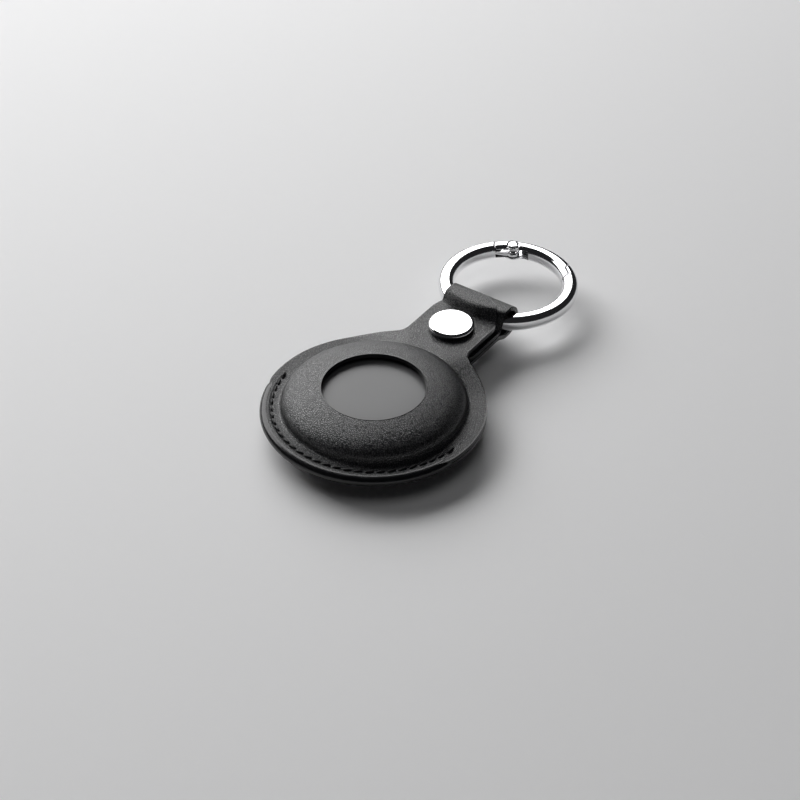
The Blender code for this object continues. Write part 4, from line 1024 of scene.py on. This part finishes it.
def gate_outline(gap):
    outside, inside = RING_OUT + 1, RING_IN - 1
    step = RING_MID - SEAM / 2 + gap
    points = seam_arc(NOSE_REACH - 0.95 + gap, outside, step, 1)
    points += seam_arc(NOSE_REACH + 0.95 + gap, step, inside, 1)
    points += seam_arc(TAIL + gap, inside, outside, -1)
    first = atan2(points[-1][1], points[-1][0])
    last = atan2(points[0][1], points[0][0])
    return points + [(17.2 * cos(mix(first, last, s)), 17.2 * sin(mix(first, last, s))) for s in shares(24)]


def block(name, outline, low, high):
    """A plan outline about the ring's centre, extruded between two heights about its middle."""
    obj = draw_line(name, [(x, y + RING_Y, RING_Z + low) for x, y in outline], closed=True)
    edit(obj, "EDGE")
    bpy.ops.mesh.select_all(action="SELECT")
    bpy.ops.mesh.edge_face_add()
    edit(obj, "FACE")
    bpy.ops.mesh.select_all(action="SELECT")
    bpy.ops.mesh.extrude_region_move(TRANSFORM_OT_translate={"value": (0, 0, high - low)})
    bpy.ops.mesh.select_all(action="SELECT")
    bpy.ops.mesh.normals_make_consistent(inside=False)
    object_mode()
    return obj


def drum(name, radius, low, high, rolled=0.0):
    """A round shape on the pin's axis."""
    bpy.ops.object.select_all(action="DESELECT")
    place = (PIN.x, PIN.y + RING_Y, RING_Z + (low + high) / 2)
    bpy.ops.mesh.primitive_cylinder_add(vertices=48, radius=radius, depth=high - low, location=place)
    obj = named(name)
    bpy.ops.object.transform_apply(location=True, rotation=True, scale=True)
    if rolled:
        modify(obj, "BEVEL", width=rolled, segments=3, limit_method="ANGLE")
    return obj


def break_edges(obj):
    limit = {"limit_method": "ANGLE", "angle_limit": radians(45), "use_clamp_overlap": False}
    modify(obj, "BEVEL", width=0.12, segments=2, **limit)


def from_pin(forward, outward):
    return tuple(PIN + TO_NOSE * forward + OUTWARD * outward)


def sector(inner_reach, outer_reach, start, end, count=10):
    angles = [mix(start, end, s) for s in shares(count)]
    outer = [(outer_reach * cos(a), outer_reach * sin(a)) for a in angles]
    return outer + [(inner_reach * cos(a), inner_reach * sin(a)) for a in reversed(angles)]


print("pin at", [round(v, 2) for v in PIN], "seam", SEAM, "mm")

# %% [markdown]
# The fixed part loses the gate's space and gains a flat tongue with an eye for the pin. A
# fine bevel breaks every cut edge, as tumbling does before plating. It mirrors the dark
# room, and so draws the seams as thin dark lines.

# %% The fixed part and its tongue
ring_body = whole_ring("ring_body_polished")
cut(ring_body, block("gate_space", gate_outline(SEAM), -4, 4))
turn = atan2(TO_NOSE.y, TO_NOSE.x)
start = asin(1.1 / 1.5)
round_eye = [mix(turn - pi + start, turn + pi - start, s) for s in shares(32)]
tongue = [(PIN.x + 1.5 * cos(a), PIN.y + 1.5 * sin(a)) for a in round_eye]
tongue += [from_pin(-TAIL - SEAM - 0.6, 1.1), from_pin(-TAIL - SEAM - 0.6, -1.1)]
cut(ring_body, block("tongue", tongue, -0.92, -0.20), "UNION")
cut(ring_body, drum("tongue_hole", 0.58, -4, 4))
break_edges(ring_body)
finish_piece(ring_body, "ring", ("ring_body",), (chrome,), angle=32)

# %% [markdown]
# The gate is the other share of a whole ring. A barrel round the pin thickens it at the
# hinge, a slot forks it round the tongue, a recess makes room for the spring's leg, and
# the pin's heads sink into round seats above and below.

# %% The gate, forked round the tongue
gate = whole_ring("ring_gate_polished")
cut(gate, block("gate_shape", gate_outline(0.0), -4, 4), "INTERSECT")
cut(gate, drum("barrel", 1.7, -1.4, 1.4), "UNION")
slot_corners = [from_pin(*c) for c in ((-5.0, -4.4), (1.85, -4.4), (1.85, 4.4), (-5.0, 4.4))]
cut(gate, block("hinge_slot", slot_corners, -1.0, 1.0))
recess_start, recess_end = PIN_ANGLE - 0.85 / RING_MID, PIN_ANGLE - 4.05 / RING_MID
recess = sector(RING_IN - 1, RING_OUT - 0.8, recess_start, recess_end)
cut(gate, block("spring_recess", recess, -1.0, 1.0))
cut(gate, drum("gate_bore", 0.58, -4, 4))
cut(gate, drum("upper_seat", 1.34, 1.32, 4))
cut(gate, drum("lower_seat", 1.34, -4, -1.32))
break_edges(gate)
finish_piece(gate, "gate", ("ring_gate",), (chrome,), angle=32)

# %% [markdown]
# The pin is a plain rod whose two ends are riveted over to low round heads. The torsion
# spring lies round it: one leg holds on to the fixed part and the other presses on the
# gate. Its finished copy rides on no body.

# %% The hinge pin and its spring
pin = drum("gate_pin_polished", 0.5, -1.5, 1.5)
cut(pin, drum("upper_head", 1.15, 1.4, 1.7, 0.12), "UNION")
cut(pin, drum("lower_head", 1.15, -1.7, -1.4, 0.12), "UNION")
finish_piece(pin, "ring", ("gate_pin",), (chrome,), angle=32)

gate_spring = smooth_copy("gate_spring", None, spring_steel)
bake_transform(gate_spring)

# %% [markdown]
# ## Floor
# The holder lies on a pale, plain, matt table that catches its shadow.

# %% Floor
bpy.ops.object.select_all(action="DESELECT")
bpy.ops.mesh.primitive_plane_add(size=6.0, location=(0, 0, 0))
floor = named("floor")
floor_paint, tree, shader, place = new_material("floor_paint", (0.84, 0.84, 0.845), 0.6)
dust = tree_add(tree, "ShaderNodeTexNoise", Vector=place, Scale=400.0, Detail=3.0)
tree.links.new(
    mix_colour(tree, dust.outputs["Fac"], (0.835, 0.835, 0.84), (0.845, 0.845, 0.85)),
    shader.inputs["Base Color"],
)
floor.data.materials.append(floor_paint)
print("floor on z =", floor.location.z)

# %% [markdown]
# ## Light
# A wide soft lamp stands behind the holder to its left, as in a product studio. It is what
# the chrome and the waxy leather mirror, and it throws the shadow forward and to the right.
# A second lamp farther left and one overhead add plain light without being mirrored. The
# world is dark, which draws the dark bands along the chrome.

# %% Lamps


def lamp(name, azimuth, elevation, distance, width, height, power, mirrored=True, aim=(0, 0.012, 0.005)):
    """An area lamp that looks at the holder. Azimuths are as the camera's."""
    data = bpy.data.lights.new(name, "AREA")
    data.shape = "RECTANGLE"
    data.size = width
    data.size_y = height
    data.energy = power
    obj = bpy.data.objects.new(name, data)
    bpy.context.scene.collection.objects.link(obj)
    a, e = radians(azimuth), radians(elevation)
    back = Vector((sin(a) * cos(e), -cos(a) * cos(e), sin(e)))
    obj.location = Vector(aim) + back * distance
    obj.rotation_euler = back.to_track_quat("Z", "Y").to_euler()
    obj.visible_camera = False
    obj.visible_glossy = mirrored
    return obj


lamp("back_softbox", 35 + 180 + 26, 32, 1.0, 1.25, 0.62, 8.6)
lamp("back_key", 35 + 180 + 40, 38, 1.0, 0.8, 0.6, 4.4, mirrored=False)
lamp("overhead_fill", 35, 85, 1.2, 0.8, 0.8, 1.3, mirrored=False)

world = bpy.data.worlds.new("studio")
bpy.context.scene.world = world
world.use_nodes = True
tree = world.node_tree
background = tree.nodes["Background"]
up = tree_add(tree, "ShaderNodeTexCoord").outputs["Generated"]
height = tree_add(tree, "ShaderNodeSeparateXYZ", Vector=up).outputs["Z"]
tree.links.new(
    mix_colour(tree, ramp(tree, height, 0.05, 0.5), (0.03, 0.03, 0.032), (0.015, 0.015, 0.016)),
    background.inputs["Color"],
)
background.inputs["Strength"].default_value = 1.0

# %% [markdown]
# ## Camera
# The camera was fitted to the photograph: it looks down at 39 degrees from the holder's
# front right, through a short telephoto lens. The Standard view keeps colours as written.

# %% Camera
camera_data = bpy.data.cameras.new("camera")
camera = bpy.data.objects.new("camera", camera_data)
bpy.context.scene.collection.objects.link(camera)
bpy.context.scene.camera = camera
camera_data.sensor_width = 36.0
camera_data.lens = 87.07
camera_data.clip_start = 0.01
camera_data.shift_x = 0.0132
camera_data.shift_y = -0.0007
AZIMUTH, ELEVATION = radians(35.1), radians(39.205)
camera.location = (0.17350, -0.24152, 0.24979)
camera.rotation_euler = Euler((pi / 2 - ELEVATION, 0, AZIMUTH), "XYZ")
bpy.context.scene.view_settings.view_transform = "Standard"
print("camera at", [round(v, 4) for v in camera.location])
